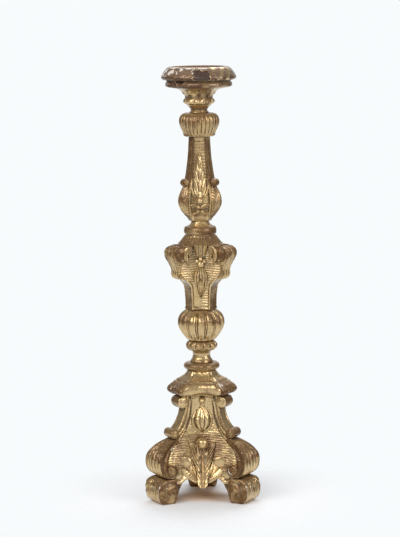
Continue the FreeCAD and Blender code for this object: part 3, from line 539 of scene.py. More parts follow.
class Field:
    """A number that varies over a surface; sums, products, differences and limits of it are Math nodes."""

    def __init__(self, nodes, socket):
        self.nodes = nodes
        self.socket = socket

    def math(self, operation, a, b):
        """The field that a Math node makes of two numbers or fields."""
        return self.nodes.field(self.nodes.add("Math", a, b, operation=operation), 0)

    def __add__(self, other):
        return self.math("ADD", self, other)

    def __mul__(self, other):
        return self.math("MULTIPLY", self, other)

    def __rsub__(self, other):
        return self.math("SUBTRACT", other, self)

    def least(self, other):
        """The smaller of the two."""
        return self.math("MINIMUM", self, other)

    def most(self, other):
        """The larger of the two."""
        return self.math("MAXIMUM", self, other)

    def spread(self, low, high):
        """Smooth step from 0 where the field is low to 1 where it is high."""
        limits = {"From Min": low, "From Max": high}
        node = self.nodes.add("MapRange", self, interpolation_type="SMOOTHSTEP", **limits)
        return self.nodes.field(node, "Result")


class Nodes:
    """The node tree of a new material or world, made node by node."""

    def __init__(self, owner):
        owner.use_nodes = True
        self.tree = owner.node_tree
        self.tree.nodes.clear()

    def put(self, socket, value):
        """Links a field or an output to an input, or sets its number or colour."""
        if isinstance(value, Field):
            value = value.socket
        if isinstance(value, bpy.types.NodeSocket):
            self.tree.links.new(value, socket)
        else:
            socket.default_value = (*value, 1.0) if isinstance(value, tuple) else value

    def add(self, kind, *values, **settings):
        """A node of a kind: settings go to inputs or properties by name, values to the first inputs."""
        node = self.tree.nodes.new("ShaderNode" + kind)
        for key, value in settings.items():
            if key in node.inputs:
                self.put(node.inputs[key], value)
            else:
                setattr(node, key, value)
        for socket, value in zip(node.inputs, values):
            self.put(socket, value)
        return node

    def field(self, node, output):
        """One output of a node as a field."""
        return Field(self, node.outputs[output])

    def noise(self, where, scale, detail, roughness=0.5):
        """Chance field of a grain size, a depth of detail and its roughness."""
        return self.field(self.add("TexNoise", where, Scale=scale, Detail=detail, Roughness=roughness), "Fac")

    def shade(self, distance, samples):
        """Share of a point's surroundings that is open within a distance: 1 in the clear, 0 in a nook."""
        return self.field(self.add("AmbientOcclusion", samples=samples, Distance=distance), "AO")

    def mix(self, share, a, b):
        """Colour that goes from a to b as the share goes from 0 to 1."""
        node = self.add("Mix", data_type="RGBA", Factor=share)
        self.put(node.inputs[6], a)
        self.put(node.inputs[7], b)
        return node.outputs[2]

    def tint(self, share, low, high, start=0.0, stop=1.0):
        """Colour band from low at share = start to high at share = stop."""
        node = self.add("ValToRGB", share)
        for element, place, colour in zip(node.color_ramp.elements, (start, stop), (low, high)):
            element.position = place
            element.color = (*colour, 1.0)
        return node.outputs["Color"]

    def surface(self, **sockets):
        """The principled shader with the given sockets as the tree's surface."""
        self.add("OutputMaterial", Surface=self.add("BsdfPrincipled", **sockets).outputs[0])


def new_material(name):
    """A new material, its nodes and its object coordinates."""
    material = bpy.data.materials.new(name)
    nodes = Nodes(material)
    return material, nodes, nodes.add("TexCoord").outputs["Object"]


def gilding(name, gold, deep, brown, grey, worn_from, dust):
    """Old water gilding: leaf worn by chance, on high points and under dust, to clay, wood and chalk.

    wear = 1.1 * broad noise + 0.3 * fine noise + 0.16 * relief + dust * up + bare (0.45 at most), and round
    worn_from the leaf goes. Leaf changes from deep to gold in patches; a worn place is brown, grey where it
    faces up, with flecks of deep leaf left. Hollows hold brown dirt, and the nooks between forms turn dark
    brown by ambient occlusion: dirt together with painted shade. The white ground shows where the wear passes
    chalk_from on a high point, and where bare is over about 1; where bare is under -0.5 the wood itself is
    dark and bare. The clear coat thins with the leaf.
    """
    chalk_from = 1.5
    shine = 0.2
    dirt = (0.07, 0.035, 0.015)
    # dark brown for the nooks between forms: dirt together with painted shade
    grime_and_shade = (0.055, 0.026, 0.011)
    white = (0.70, 0.63, 0.55)
    dark_wood = (0.03, 0.016, 0.011)
    pale_wood = (0.10, 0.06, 0.045)

    material, nodes, where = new_material(name)
    broad = nodes.noise(where, 46.0, 4.0, 0.55)
    fine = nodes.noise(where, 300.0, 6.0, 0.66)
    grain = nodes.noise(where, 1500.0, 3.0, 0.6)
    relief, up, bare = (nodes.field(nodes.add("Attribute", attribute_name=field), "Fac") for field in FIELDS)

    wear = (broad * 1.1 + fine * 0.3 + relief * 0.16) + (up * dust + bare.least(0.45))
    worn = wear.spread(worn_from - 0.2, worn_from + 0.2)
    hollow = (relief * -1.0 + fine * 0.4).spread(0.3, 1.0)
    chalk = (wear + grain * 0.25).spread(chalk_from, chalk_from + 0.12) * relief.spread(0.0, 0.35)
    chalk = chalk.most((bare + fine * 0.6).spread(1.0, 1.25))
    wood = (bare * -1.0).spread(0.5, 0.66)

    leaf = nodes.mix((broad * 0.5 + fine * 0.5).spread(0.26, 0.62), deep, gold)
    body = nodes.mix((up + broad * 0.8).spread(0.2, 1.3), brown, grey)
    body = nodes.mix(fine.spread(0.48, 0.68) * 0.5, body, deep)
    colour = nodes.mix(worn, leaf, body)
    colour = nodes.mix(hollow * 0.75, colour, dirt)
    # Nooks between forms, found by ambient occlusion within 4.5 mm, turn dark brown: dirt together with
    # painted shade
    colour = nodes.mix(nodes.shade(0.0045, 6).spread(0.72, 0.22) * 0.7, colour, grime_and_shade)
    colour = nodes.mix(chalk, colour, white)
    colour = nodes.mix(wood, colour, nodes.mix(fine, dark_wood, pale_wood))

    left = (1.0 - worn * 0.6) * (1.0 - hollow * 0.5) * (1.0 - chalk.most(wood))
    dents = nodes.add("Bump", Strength=0.1, Distance=0.0005, Height=fine * 0.8 + worn * -0.3)
    ticks = nodes.add("Bump", Strength=0.05, Distance=0.0002, Height=grain, Normal=dents.outputs[0])
    nodes.surface(**{
        "Base Color": colour,
        "Metallic": left * 0.85,
        "Roughness": worn * 0.04 + fine * 0.16 + wood * 0.3 + shine,
        "Normal": ticks.outputs[0],
        "Specular IOR Level": 0.2,
        "Coat Weight": 0.44 - worn * 0.28,
        "Coat Roughness": 0.16,
    })
    return material


def plain_wood():
    """Turned dowel wood: rings of growth about the grain, with fine pores."""
    material, nodes, where = new_material("dowel_wood")
    rings = nodes.add("TexWave", where, wave_type="RINGS", rings_direction="Z", Scale=60.0, Distortion=3.0,
                      Detail=3.0)
    tint = nodes.tint(rings.outputs["Fac"], (0.30, 0.18, 0.09), (0.46, 0.30, 0.16))
    pores = nodes.add("Bump", Strength=0.2, Distance=0.0003, Height=nodes.noise(where, 900.0, 4.0))
    nodes.surface(**{"Base Color": tint, "Roughness": 0.7, "Normal": pores.outputs[0]})
    return material


def dull_brass():
    """Sheet brass dulled by wax and fingers: tarnish in broad patches, fine turned scratches."""
    material, nodes, where = new_material("dull_brass")
    patches = nodes.noise(where, 120.0, 6.0, 0.65)
    tint = nodes.tint(patches, (0.20, 0.14, 0.07), (0.52, 0.39, 0.19), 0.38, 0.66)
    rough = nodes.add("MapRange", patches, **{"To Min": 0.62, "To Max": 0.3})
    lines = nodes.add("TexWave", where, wave_type="RINGS", rings_direction="Z", Scale=700.0, Distortion=1.5,
                      Detail=2.0)
    turned = nodes.add("Bump", Strength=0.08, Distance=0.0002, Height=lines.outputs["Fac"])
    nodes.surface(**{"Base Color": tint, "Metallic": 0.9, "Roughness": rough.outputs["Result"],
                     "Normal": turned.outputs[0]})
    return material


GILDINGS = {
    "old_gilding": gilding("old_gilding", gold=(0.70, 0.525, 0.28), deep=(0.46, 0.288, 0.098),
                           brown=(0.125, 0.053, 0.016), grey=(0.215, 0.128, 0.062), worn_from=0.9, dust=0.16),
    "worn_pan": gilding("worn_pan", gold=(0.66, 0.50, 0.28), deep=(0.40, 0.26, 0.11),
                        brown=(0.105, 0.05, 0.025), grey=(0.24, 0.16, 0.11), worn_from=0.74, dust=0.10),
}


# Base: feet, body, consoles, brackets and cap

def base_face(z):
    """Distance from the axis to the middle of a base panel."""
    return through(z, (20, 44), (35, 38), (59.75, 29), (93.5, 20), (125, 16.5), (150, 19))


def base_edge(z):
    """Radius and half width at which the base panel's ground meets the console's side."""
    r = through(z, (20, 52), (35, 56), (47, 62), (58, 66), (70, 62), (82, 51.5), (93.5, 40), (105, 32.5),
                (118, 26.5), (130, 24.5), (150, 25))
    w = through(z, (20, 14), (35, 13), (58, 13), (75, 10.6), (90, 8.0), (105, 7.2), (130, 6.8), (150, 8.5))
    return r, w


def base_ground(x, z):
    """Outward distance of a base panel's ground at x across and level z."""
    return side_ground(x, base_face(z), base_edge(z), BASE_CURVE)


def cap_arch(x):
    """Rise of the cap's lower edge over a panel: a bell 4.2 mm high."""
    return 4.2 * np.exp(-(x / 13.0) ** 2)


def base_body():
    """Waisted body: a grid of side share s and height share v on three hollow sides over an arched rim.

    Its carved height is minus wavy level strokes 3.3 mm apart, faint above the waist, plus a bead under the
    cap, a rounded lower rim and a fillet up along each console. The row inside the rim closes it below.
    """
    flats = 7
    s = np.linspace(-1, 1, 121)[None, :]
    v = np.linspace(0, 1, 200)[:, None]
    off = np.abs(s)
    low = 25.0 + 8.5 * ramp(off, 0.06, 0.36) - 7.0 * ramp(off, 0.5, 0.8)
    z = low + (154.0 - low) * v
    side = side_grid(z, s, base_face(z), base_edge(z), BASE_CURVE)
    x = side[..., 0]
    below_cap = z - (148.0 + cap_arch(x))
    fillet = hump(off - 0.9, 0.07)
    stroke = z / 3.3 + 0.22 * np.sin(x / 5.5 + z / 9.0) + 0.12 * np.sin(x / 1.9 + z)
    clear = ramp(z, 40, 46) * (1 - ramp(off, 0.86, 0.97)) * (1 - ramp(below_cap, -8, -6))
    height = -(0.4 - 0.26 * ramp(z, 92, 108)) * scratch(stroke, 0.7) * clear
    height = height + 1.1 * hump(below_cap + 4.5, 1.7) + 1.9 * hump(z - low - 2.0, 4.5)
    height = height + 1.9 * fillet * ramp(z, 84, 96)
    rings = around(carve(side, height, wrap_round=False), flats)
    inner = rings[:1] * np.array([0.8, 0.8, 0.0]) + np.array([0, 0, 33.0])
    rings = np.concatenate([inner, rings])
    bare = 0.2 * ramp(z, 40, 52) * (1 - ramp(z, 90, 102)) - 0.45 * ramp(z, 92, 106)
    # Painted shade: a brown halo on the ground round the bead at 82 mm stands for the shade about it
    bare = bare - 0.2 * (1 - ramp(z, 34, 40)) - 0.25 * fillet + 0.3 * hump(np.hypot(x, z - 82.0), 15.0)
    bare = thrice(bare, 0.0, flats)
    return Shell(rings, np.concatenate([bare[:1], bare]), seed=3)


def console_scroll(place, seed):
    """Fat lower scroll of a console: a reeded band down over the bulge and round a rolled volute on the foot.

    The face is lifted by -swell * a ** 2 and by reeding with wavy ribs, which fades in at the top of the path
    and out under the bulge, between two grooves near the edges.
    """
    columns = 64
    path = smooth_curve([(45.0, 90.3), (50.7, 87.8), (56.5, 85.6), (61.9, 82.9), (67.3, 79.6), (72.1, 75.6),
                         (75.9, 71.5), (78.7, 67.0), (80.0, 62.0), (80.3, 57.5), (79.9, 52.5), (78.6, 47.5),
                         (75.5, 42.6), (71.2, 38.4), (66.0, 35.8), (60.0, 35.3), (54.0, 37.0), (49.8, 41.5),
                         (49.0, 47.0), (51.2, 51.8), (55.6, 54.6), (60.2, 54.6)], 150)
    t = np.linspace(0, 1, len(path))[:, None]
    half = through(t, (0, 9.6), (0.12, 12.8), (0.25, 17.6), (0.38, 20.9), (0.5, 21.2), (0.65, 20.5),
                   (0.8, 19.6), (1, 19.0))
    depth = through(t, (0, 7.0), (0.15, 10.5), (0.32, 14.5), (0.48, 13.5), (0.6, 9.5), (0.7, 6.0),
                    (0.82, 4.0), (1, 2.8))

    def face(a, t):
        """A fall towards the edges by a ** 2, wavy ribs inside, and a groove near each edge."""
        x = a * 2.9 + 0.5 + 0.13 * np.sin(4 * a + 6 * t) + 0.05 * np.sin(40 * t + 9 * a)
        inside = 1 - ramp(np.abs(a), 0.86, 0.94)
        swell = through(t, (0, 0.6), (0.3, 1.2), (0.5, 1.2), (0.7, 0.5), (1, 0.2))
        ribs = 2.7 * reeding(x, 0.5) * inside * ramp(t, 0.02, 0.14) * (1 - ramp(t, 0.56, 0.7))
        return -swell * a ** 2 + ribs - 0.8 * hump(np.abs(a) - 0.87, 0.05)

    band = strap(path, half, depth, face, place, columns, 0.04)
    tone = np.full(band.shape[:2], 0.4)
    tone[:, :columns] = 0.22 - 0.42 * ramp(t, 0.36, 0.52)
    disc = roll(59.2, 45.6, 8.4, 18.2, place, 0.02, 0.7)
    return [Shell(band, tone, seed=seed, rough=0.22), Shell(disc, 0.3, seed=seed + 1)]


def console_strap(place, seed):
    """Upper part of a console: a strap swept down to a rolled curl, and the rolled bracket under the cap.

    The strap's face is raised along both edges and sunk by a hump along its middle.
    """
    columns = 26
    path = smooth_curve([(29.5, 147.0), (30.0, 140.0), (31.0, 132.5), (32.4, 125.5), (34.6, 117.8),
                         (37.8, 110.5), (41.8, 104.6), (46.5, 100.0), (51.0, 97.0)], 70)
    t = np.linspace(0, 1, len(path))[:, None]
    half = through(t, (0, 10.6), (0.2, 9.4), (0.5, 8.8), (0.8, 9.8), (1, 10.2))
    depth = through(t, (0, 9.0), (0.25, 8.0), (0.6, 9.5), (1, 8.0))

    def face(a, t):
        """A step up to each edge and a shallow hollow along the middle."""
        return 0.9 * ramp(np.abs(a), 0.62, 0.84) - 0.5 * hump(a, 0.6) + 0 * t

    band = strap(path, half, depth, face, place, columns, 0.09)
    tone = np.full(band.shape[:2], 0.1)
    tone[:, columns:] = -0.35 + 0.45 * ramp(t, 0.3, 0.6)
    curl = roll(49.6, 95.8, 6.6, 10.3, place, 0.05, 1.0, dome=2.4, way=-1, count=48)
    bracket = roll(35.4, 138.9, 8.2, 10.9, place, 0.06, 0.5, count=56)
    gilt = np.full((len(bracket), 1), -0.3)
    gilt[ROLL_SIDE:ROLL_SIDE + ROLL_FACE] = 0.12
    sweep = [Shell(band, tone, seed=seed), Shell(curl, 0.2, seed=seed + 1)]
    return sweep, [Shell(bracket, gilt, seed=seed + 2)]


def scroll_foot(place, seed):
    """Scroll foot: a fat block with rounded edges on a flat sole, drawn in to a sloping web under the base.

    Its face is lifted by wavy reeding over the outer part of the outline, its sides by a boss less a worn
    spiral groove, and all but the sole by chance lumps. A white chip lies on each outer edge.
    """
    outline = moulding([(36.5, 35.0), (56, 35.2), (68.5, 35.1), (75.6, 33.4), (79.8, 29.0), (80.7, 22.5),
                        (80.7, 15.5), (79.8, 9.2), (77.6, 4.2), (73.6, 1.0), (69.0, 0.2), (61.0, 0.15),
                        (54.0, 0.2), (51.8, 5.0), (47.6, 14.0), (42.2, 25.0)], 150, 3.0, closed=True)
    centre = np.array([63.6, 17.4])

    def half(r, z):
        """Half width by level, less up to 5.5 mm towards the web."""
        wide = through(z, (0, 18.4), (9, 20.4), (17.5, 21.0), (26, 20.8), (35, 19.6))
        return wide - 5.5 * ramp(60 - r, 4, 14)

    def side(distance, bearing, k):
        """A low dome and a boss at the eye, less the spiral groove."""
        lap = distance / 16.0 - bearing / TAU
        cut = scratch(lap, 0.5) * ramp(distance, 5.0, 8.0) * (1 - ramp(distance, 13.5, 17.0))
        return 0.8 * (1 - k ** 2) + 1.4 * hump(distance, 9.0) - cut

    def face(a, run):
        """Wavy ribs over the outer part of the outline."""
        x = a * 2.6 + 0.3 * np.sin(7 * a + 9 * run) + 0.12 * np.sin(31 * run)
        ribs = reeding(x, 0.6) * (1 - ramp(np.abs(a), 0.84, 0.96))
        return 1.9 * ribs * hump(run - 0.32, 0.27)

    shape = slab(outline, centre, half, face, side, place, 26, 60, 0.2)
    lumps = 0.45 * uneven(shape, seed, 12.0) + 0.15 * uneven(shape, seed + 7, 6.0)
    shape = carve(shape, np.minimum(lumps * ramp(shape[..., 2], 1.5, 6.0), 0.1))
    shape[..., 2] = np.maximum(shape[..., 2], 0.0)
    r, a, z = from_corner(shape, place)
    off = np.abs(a)
    on_side = ramp(off, 16, 19)
    low = (1 - ramp(z, 4, 18)) * ramp(r, 60, 66)
    bare = 0.14 + 0.14 * on_side - 0.4 * low * (1 - on_side) + 0.07 * uneven(shape, seed + 5, 13.0)
    chip = hump(np.hypot((off - 19.5) / 1.6, (z - 26.0) / 3.4), 1.0) * (r > 75)
    # Painted shade: the faces towards the axis, under the base, are made worn brown to stand for the shadow
    # there
    inner = (1 - ramp(r, 56, 60)) * (1 - ramp(off, 13, 18))
    return Shell(shape, bare + 1.2 * chip + 0.4 * inner, seed=seed, rough=0.0)


def base_cap():
    """Three-sided cap: a round band over an arched lower edge, gnarled corners, and a slope to the neck.

    Each profile row is a three-sided ring of its share of the full size, smoothed round the corners. The band
    is cut off from the corner block by a groove. Near a corner the ring is drawn in by `drop`, above and
    below the band's middle, so that the corner is a knob; grooves and chance lumps gnarl the block.
    """
    columns = 111
    flats = 21
    third = columns + flats
    s = np.linspace(-1, 1, columns)[None, :]
    profile = moulding([(0.80, 147.2), (0.89, 147.7), (0.945, 149.4), (0.985, 152.8), (1.0, 156.8),
                        (0.988, 160.6), (0.945, 163.8), (0.895, 165.6), (0.88, 166.8), (0.81, 168.0),
                        (0.69, 170.4), (0.575, 173.8), (0.51, 177.2), (0.47, 180.0)], 120, 2.6)
    z = profile[:, 1:]
    face = 36.0 * profile[:, :1]
    edge = (face * 1.315, face * (0.565 - 0.04 * ramp(z, 165, 180)))
    side = side_grid(z, s, face, edge, STEM_CURVE)
    side[..., 2] += cap_arch(side[..., 0]) * (1 - ramp(z, 147.5, 159.0))
    on_band = 1 - ramp(z, 165.3, 166.8)
    height = -1.5 * hump(s - 0.8, 0.06) * on_band - hump(z - 166.8, 1.2)
    height = height + 0.5 * hump(z - 151.0, 1.6) * (1 - ramp(s, 0.7, 0.76))
    rings = around(carve(side, height, wrap_round=False), flats)
    for _ in range(2):
        rings = sum(shift(rings, i, 1, True) for i in range(-4, 5)) / 9
    run = run_round(columns, flats)
    block = ramp(run, 0.83, 0.88) * (1 - ramp(run, 1.72, 1.8))
    away = np.abs(np.arange(3 * third) % third - (columns + (flats - 1) / 2.0))
    knuckle = 1 - ramp(np.minimum(away, third - away), 16.0, 34.0)[None, :]
    drop = through(z, (147, 4.6), (148.5, 3.2), (151, 0.9), (154.5, 0), (157, 0.6), (161, 3.2), (166, 6.4),
                   (171, 5.4), (177, 3.6), (180, 2.6))
    radius = np.hypot(rings[..., 0], rings[..., 1])
    rings[..., :2] *= (1 - drop * knuckle / radius)[..., None]
    gnarl = scratch(run * 5.2 + 0.2 * np.sin(z / 2.1), 0.6) * 1.9 + 0.8 * uneven(rings, 7, 5.5)
    rings = carve(rings, -gnarl * block * hump(z - 156.5, 9.5) * (z < 166.0))
    bare = 0.36 * block * on_band - 0.42 * ramp(z, 168, 173) + 0.06 * on_band
    bare = bare + 0.16 * ramp(run, 1.0, 1.05) * ramp(z, 166, 168) + 0.2 * ramp(run, 1.75, 1.8) * on_band
    return Shell(rings, bare, seed=11, rough=0.14)


def acanthus(place, seed):
    """Leaf of the base: a veined fan that rises from a bulging tip, side leaves, round lobes and a bead.

    The fan is a plaque of height share v and width share u: its height is a rib along the middle, a fold on
    each side, slanting veins outside the fold and a bulge at the tip, and it sinks towards the top.
    """
    g = base_ground
    u = np.linspace(-1, 1, 71)[None, :]
    v = np.linspace(0, 1, 80)[:, None]
    side = np.abs(u)
    wide = through(v, (0, 3.4), (0.05, 6.0), (0.15, 7.0), (0.35, 8.6), (0.6, 12.2), (0.8, 15.2), (1, 18.5))
    across = side * wide
    z = 22.5 + v * (51.0 + 9.0 * side ** 1.3)
    vein = scratch((z - 1.7 * across) / 6.2, 0.42) * ramp(side, 0.4, 0.56) * ramp(v, 0.1, 0.3)
    fan = 3.9 + 3.3 * hump(across, 2.7) + 1.3 * hump(side - 0.72, 0.42) - 0.5 * hump(side - 0.44, 0.08)
    fan = (fan - 1.5 * vein) * ramp(v, -0.1, 0.12) * (1 - 0.55 * ramp(v, 0.8, 1.0)) + 3.0 * hump(v, 0.16)
    forms = [(plaque(u * wide, z, fan, g, place), 0.24 * ramp(v, 0.3, 0.7) - 0.12)]
    ribbed = {"ribs": 2, "taper": (0.5, 0.6)}
    leaves = [
        ([(9, 35), (16, 37), (22, 41), (27.5, 48)], 4.4, 3.4, -0.2, {"spine": 0.3, "taper": (0.5, 0.4)}),
        ([(6.0, 31), (10.6, 40), (13.6, 48), (15.6, 58)], 4.2, 2.8, 0.04, ribbed),
        ([(6.0, 30), (12.0, 38), (17.0, 45), (20.6, 53)], 4.2, 2.8, 0.02, ribbed),
        ([(6.0, 29), (13.0, 34), (19.0, 38), (23.6, 44)], 4.0, 3.4, -0.1, ribbed),
    ]
    for way in (1, -1):
        forms.append((knob(way * 24.0, 55.5, 9.0, g, place, 0.0, flat=0.3), -0.02))
        for curve, width, height, tone, style in leaves:
            forms.append((leaflet(curve, width, height, g, place, way, **style), tone))
    forms.append((knob(0.0, 82.0, 8.3, g, place, 0.95), -0.08))
    return shells_of(forms, seed)


def lobed_bud(place, seed):
    """Bud of the base: a pod of upright lobes, two sheath leaves, a short stalk and a bead."""
    g = base_ground
    sheath = [(0, 96.5), (9.4, 103), (12.0, 113), (8.0, 127)]
    forms = [
        pod(95.5, 132.5, 11.4, g, place, 8, 0.36, flat=0.8),
        leaflet(sheath, 2.6, 3.2, g, place, 1, spine=0.6),
        leaflet(sheath, 2.6, 3.2, g, place, -1, spine=0.6),
        pod(127.0, 139.0, 3.4, g, place, 4, 0.1),
        knob(0.0, 140.3, 4.4, g, place, 0.75),
    ]
    return shells_of([(rings, -0.3) for rings in forms], seed)


# Stem: collar, neck, knop, vase, shoulder and baluster

def ring_collar():
    """Round collar on the cap: a turned profile of a fat half-round over a narrow seat."""
    profile = moulding([(6, 180.0), (19.0, 180.0), (19.2, 181.6), (21.6, 182.0), (24.2, 183.4), (25.1, 186.2),
                        (24.3, 189.0), (21.8, 190.8), (18.0, 191.3), (6, 191.4)], 60, 1.4)
    return Shell(lathe(profile, 128), 0.15, seed=21, rough=0.14)


def leafy_neck():
    """Waisted neck that opens to a ring of curled leaves under the knop.

    The radius gains eleven lobes round the leaf ring, and the lobes hang down below it.
    """
    lobes = 11
    profile = moulding([(6, 191.5), (15.7, 191.5), (15.2, 194.0), (13.0, 197.5), (12.0, 201.5),
                        (12.6, 205.0), (15.2, 208.2), (18.8, 210.4), (20.8, 213.4), (21.0, 216.6),
                        (19.4, 219.6), (16.5, 221.9), (6, 222.0)], 90, 1.6)

    def leaves(angle, r, z):
        """Lobes about the leaf ring's level."""
        return 4.0 * (reed(lobes * angle / TAU + 0.5) - 0.7) * hump(z - 215.5, 7.5)

    rings = lathe(profile, 264, leaves)
    hang = reed(lobes * (np.arctan2(rings[..., 1], rings[..., 0]) / TAU) + 0.25) - 0.4
    rings[..., 2] -= 2.2 * hang * hump(rings[..., 2] - 212.0, 5.0)
    return Shell(rings, 0.1, seed=22, rough=0.16)


def gadrooned(profile, count, lobes, deep, low, high, seed, bare, darts=True):
    """Turned knop cut into broad upright lobes, with or without a narrow dart in each furrow.

    Between low and high the radius gains deep * (arc - 0.92), arc being the circle arc of a lobe or dart.
    """
    def lobe(angle, r, z):
        """The arc of the lobe or the dart at this angle, whichever is higher."""
        x = lobes * angle / TAU
        u = np.abs(2 * (x - np.floor(x)) - 1)
        broad = np.sqrt(np.clip(1 - (u / (0.8 if darts else 1.05)) ** 2, 0, 1))
        dart = 0.62 * np.sqrt(np.clip(1 - ((u - 1.0) / 0.17) ** 2, 0, 1)) if darts else 0.0
        reach = ramp(z, low, low + 6) * (1 - ramp(z, high - 6, high))
        return deep * (np.maximum(broad, dart) - 0.92) * reach

    return Shell(lathe(profile, count, lobe), bare, seed=seed, rough=0.16)


def gadroon_knop():
    """Lobed knop under the vase: fourteen lobes with darts between them."""
    profile = moulding([(6, 222.0), (17.4, 222.1), (19.4, 223.2), (22.4, 227.0), (27.0, 233.0),
                        (31.0, 240.0), (32.8, 246.5), (32.2, 252.5), (29.0, 258.5), (25.0, 262.4),
                        (20.8, 265.0), (19.4, 265.9), (6, 266.0)], 100, 5.0)
    z = profile[:, 1:]
    tone = -0.08 + 0.16 * ramp(z, 238, 252) - 0.12 * (1 - ramp(z, 226, 236))
    return gadrooned(profile, 476, 14, 4.0, 222.5, 267.5, 23, tone)


def vase_face(z):
    """Distance from the axis to the middle of a vase panel."""
    return through(z, (266, 15.6), (288.75, 16.4), (311.5, 19.2), (334, 22.1), (357, 23.5))


def vase_edge(z):
    """Radius and half width at which the vase panel's ground meets the corner."""
    face = vase_face(z)
    spread = ramp(z, 298, 322)
    return face * 1.23 + (38.0 - face * 1.23) * spread, face * 0.54 + (10.5 - face * 0.54) * spread


def vase_ground(x, z):
    """Outward distance of a vase panel's ground at x across and level z."""
    return side_ground(x, vase_face(z), vase_edge(z), STEM_CURVE)


def vase_body():
    """Three-sided vase: hatched hollow panels between raised edges, with corner flats hollowed by a parabola.

    The strokes lie level, 3.6 mm apart and a little wavy; the lower part has them on its right half only, and
    the upper part reaches out to the brackets.
    """
    columns = 101
    flats = 15
    s = np.linspace(-1, 1, columns)[None, :]
    z = np.linspace(266, 357, 215)[:, None]
    side = side_grid(z, s, vase_face(z), vase_edge(z), STEM_CURVE)
    x = side[..., 0]
    upper = ramp(z, 306, 316)
    raised = hump(np.abs(s) - 0.9, 0.13) * (1 - ramp(z, 304, 316))
    stroke = z / 3.6 + 0.015 * np.maximum(z - 305, 0) + 0.1 * np.sin(x / 6.0 + z / 11.0) + 0.016 * np.abs(x)
    clear = ramp(z, 270, 274) * (1 - ramp(np.abs(s) - (0.78 + 0.2 * upper), -0.04, 0.04))
    clear = clear * (1 - ramp(-x, -2, 4) * (1 - ramp(z, 300, 308)))
    height = -0.48 * scratch(stroke, 0.6) * clear + 1.5 * raised + 1.2 * hump(z - 267.8, 2.4)
    rings = around(carve(side, height, wrap_round=False), flats)
    across = 2 * np.maximum(run_round(columns, flats), 1) - 3
    rings = carve(rings, -0.4 * (1 - across ** 2) * ramp(z, 266, 272) * (1 - ramp(z, 303, 312)))
    tone = -0.2 * ramp(x, 0, 7) * (1 - ramp(z, 300, 312)) + 0.12 * upper - 0.2 * raised
    return Shell(rings, thrice(tone, 0.34, flats), seed=24, rough=0.12)


def vase_console(place, seed):
    """Bracket at a top corner of the vase: an S-shaped outline with a hooked lower end, carried across.

    Three grooves run down its outer face. Each side has a round eye in a ring, and level strokes below it.
    """
    outline = moulding([(22, 310.2), (33, 309.7), (38.4, 310.4), (41.2, 313.4), (41.6, 317.6),
                        (40.8, 321.6), (42.0, 326.2), (45.0, 331.8), (48.2, 337.6), (50.2, 343.0),
                        (50.3, 348.0), (48.0, 352.4), (43.2, 355.2), (36.4, 356.4), (29.5, 356.9),
                        (20, 356.9), (20, 340), (21, 325)], 130, 2.4, closed=True)
    centre = np.array([36.4, 346.0])

    def half(r, z):
        """Half width by level."""
        return through(z, (309, 9.4), (318, 9.8), (328, 10.6), (340, 12.6), (350, 13.2), (357, 12.8))

    def side(distance, bearing, k):
        """The eye in its ring, a ridge round most of it, and level strokes below."""
        level = distance * np.sin(bearing)
        strokes = scratch(level / 3.5 + 0.1 * np.sin(level / 4.0), 0.6)
        strokes = strokes * (1 - ramp(level, -15.0, -11.5)) * (1 - ramp(k, 0.84, 0.95))
        eye = 1.3 * hump(distance, 7.6) - 1.3 * hump(distance - 8.6, 1.5)
        return eye + 0.8 * hump(distance - 11.2, 1.6) * (bearing < 1.0) - 0.6 * strokes

    def face(a, run):
        """Three wavy grooves on a slightly domed face."""
        x = a * 1.45 + 0.5 + 0.06 * np.sin(25 * run)
        grooves = scratch(x, 0.55) * (1 - ramp(np.abs(a), 0.74, 0.86))
        return -3.2 * grooves + 0.5 * (1 - a ** 2) + 0 * run

    rings = slab(outline, centre, half, face, side, place, 40, 44, 0.12)
    r, a, z = from_corner(rings, place)
    in_eye = 1 - ramp(np.hypot(r - centre[0], z - centre[1]), 7.0, 8.2)
    on_side = ramp(np.abs(a), 9.0, 9.6)
    low = 1 - ramp(z, 316, 334)
    bare = 0.12 + (0.16 + 0.2 * in_eye) * on_side - 0.2 * low * (1 - on_side)
    return Shell(rings, bare, seed=seed, rough=0.2)


def husk(place, seed):
    """Hanging husk on the vase: leaves in folds that fall to a point, a smaller leaf in front, and beads.

    Both are plaques of level z and width share u: the folds are reeds with slanting scratches, and the
    front leaf is a spine between two furrows.
    """
    g = vase_ground
    u = np.linspace(-1, 1, 61)[None, :]
    off = np.abs(u)
    z = np.linspace(284.0, 327.0, 90)[:, None]
    wide = through(z, (284, 0.6), (290, 3.2), (298, 6.6), (308, 9.4), (317, 8.8), (323, 5.6), (327, 2.4))
    folds = 3.0 + 1.8 * reed(u * 2.5 + 0.5) - 0.4 * scratch(off * 3.0 + z / 9.0, 0.4)
    forms = [(plaque(u * wide, z, folds * ramp(1 - off, 0.0, 0.15) ** 0.5, g, place), 0.0)]
    z = np.linspace(286.0, 311.0, 60)[:, None]
    wide = through(z, (286, 0.5), (292, 2.6), (299, 4.0), (306, 2.8), (311, 0.5))
    lens = 5.8 + hump(u, 0.4) - 0.5 * hump(off - 0.62, 0.2) + 0.4 * hump(off - 0.9, 0.2)
    forms.append((plaque(u * wide, z, lens, g, place), -0.2))
    forms.append((knob(0.0, 331.0, 5.0, g, place, 0.7, petals=5), -0.2))
    for x, level in ((-4.8, 335.0), (4.8, 335.0), (0.0, 338.0)):
        forms.append((knob(x, level, 2.8, g, place, 0.9), -0.2))
    return shells_of(forms, seed)


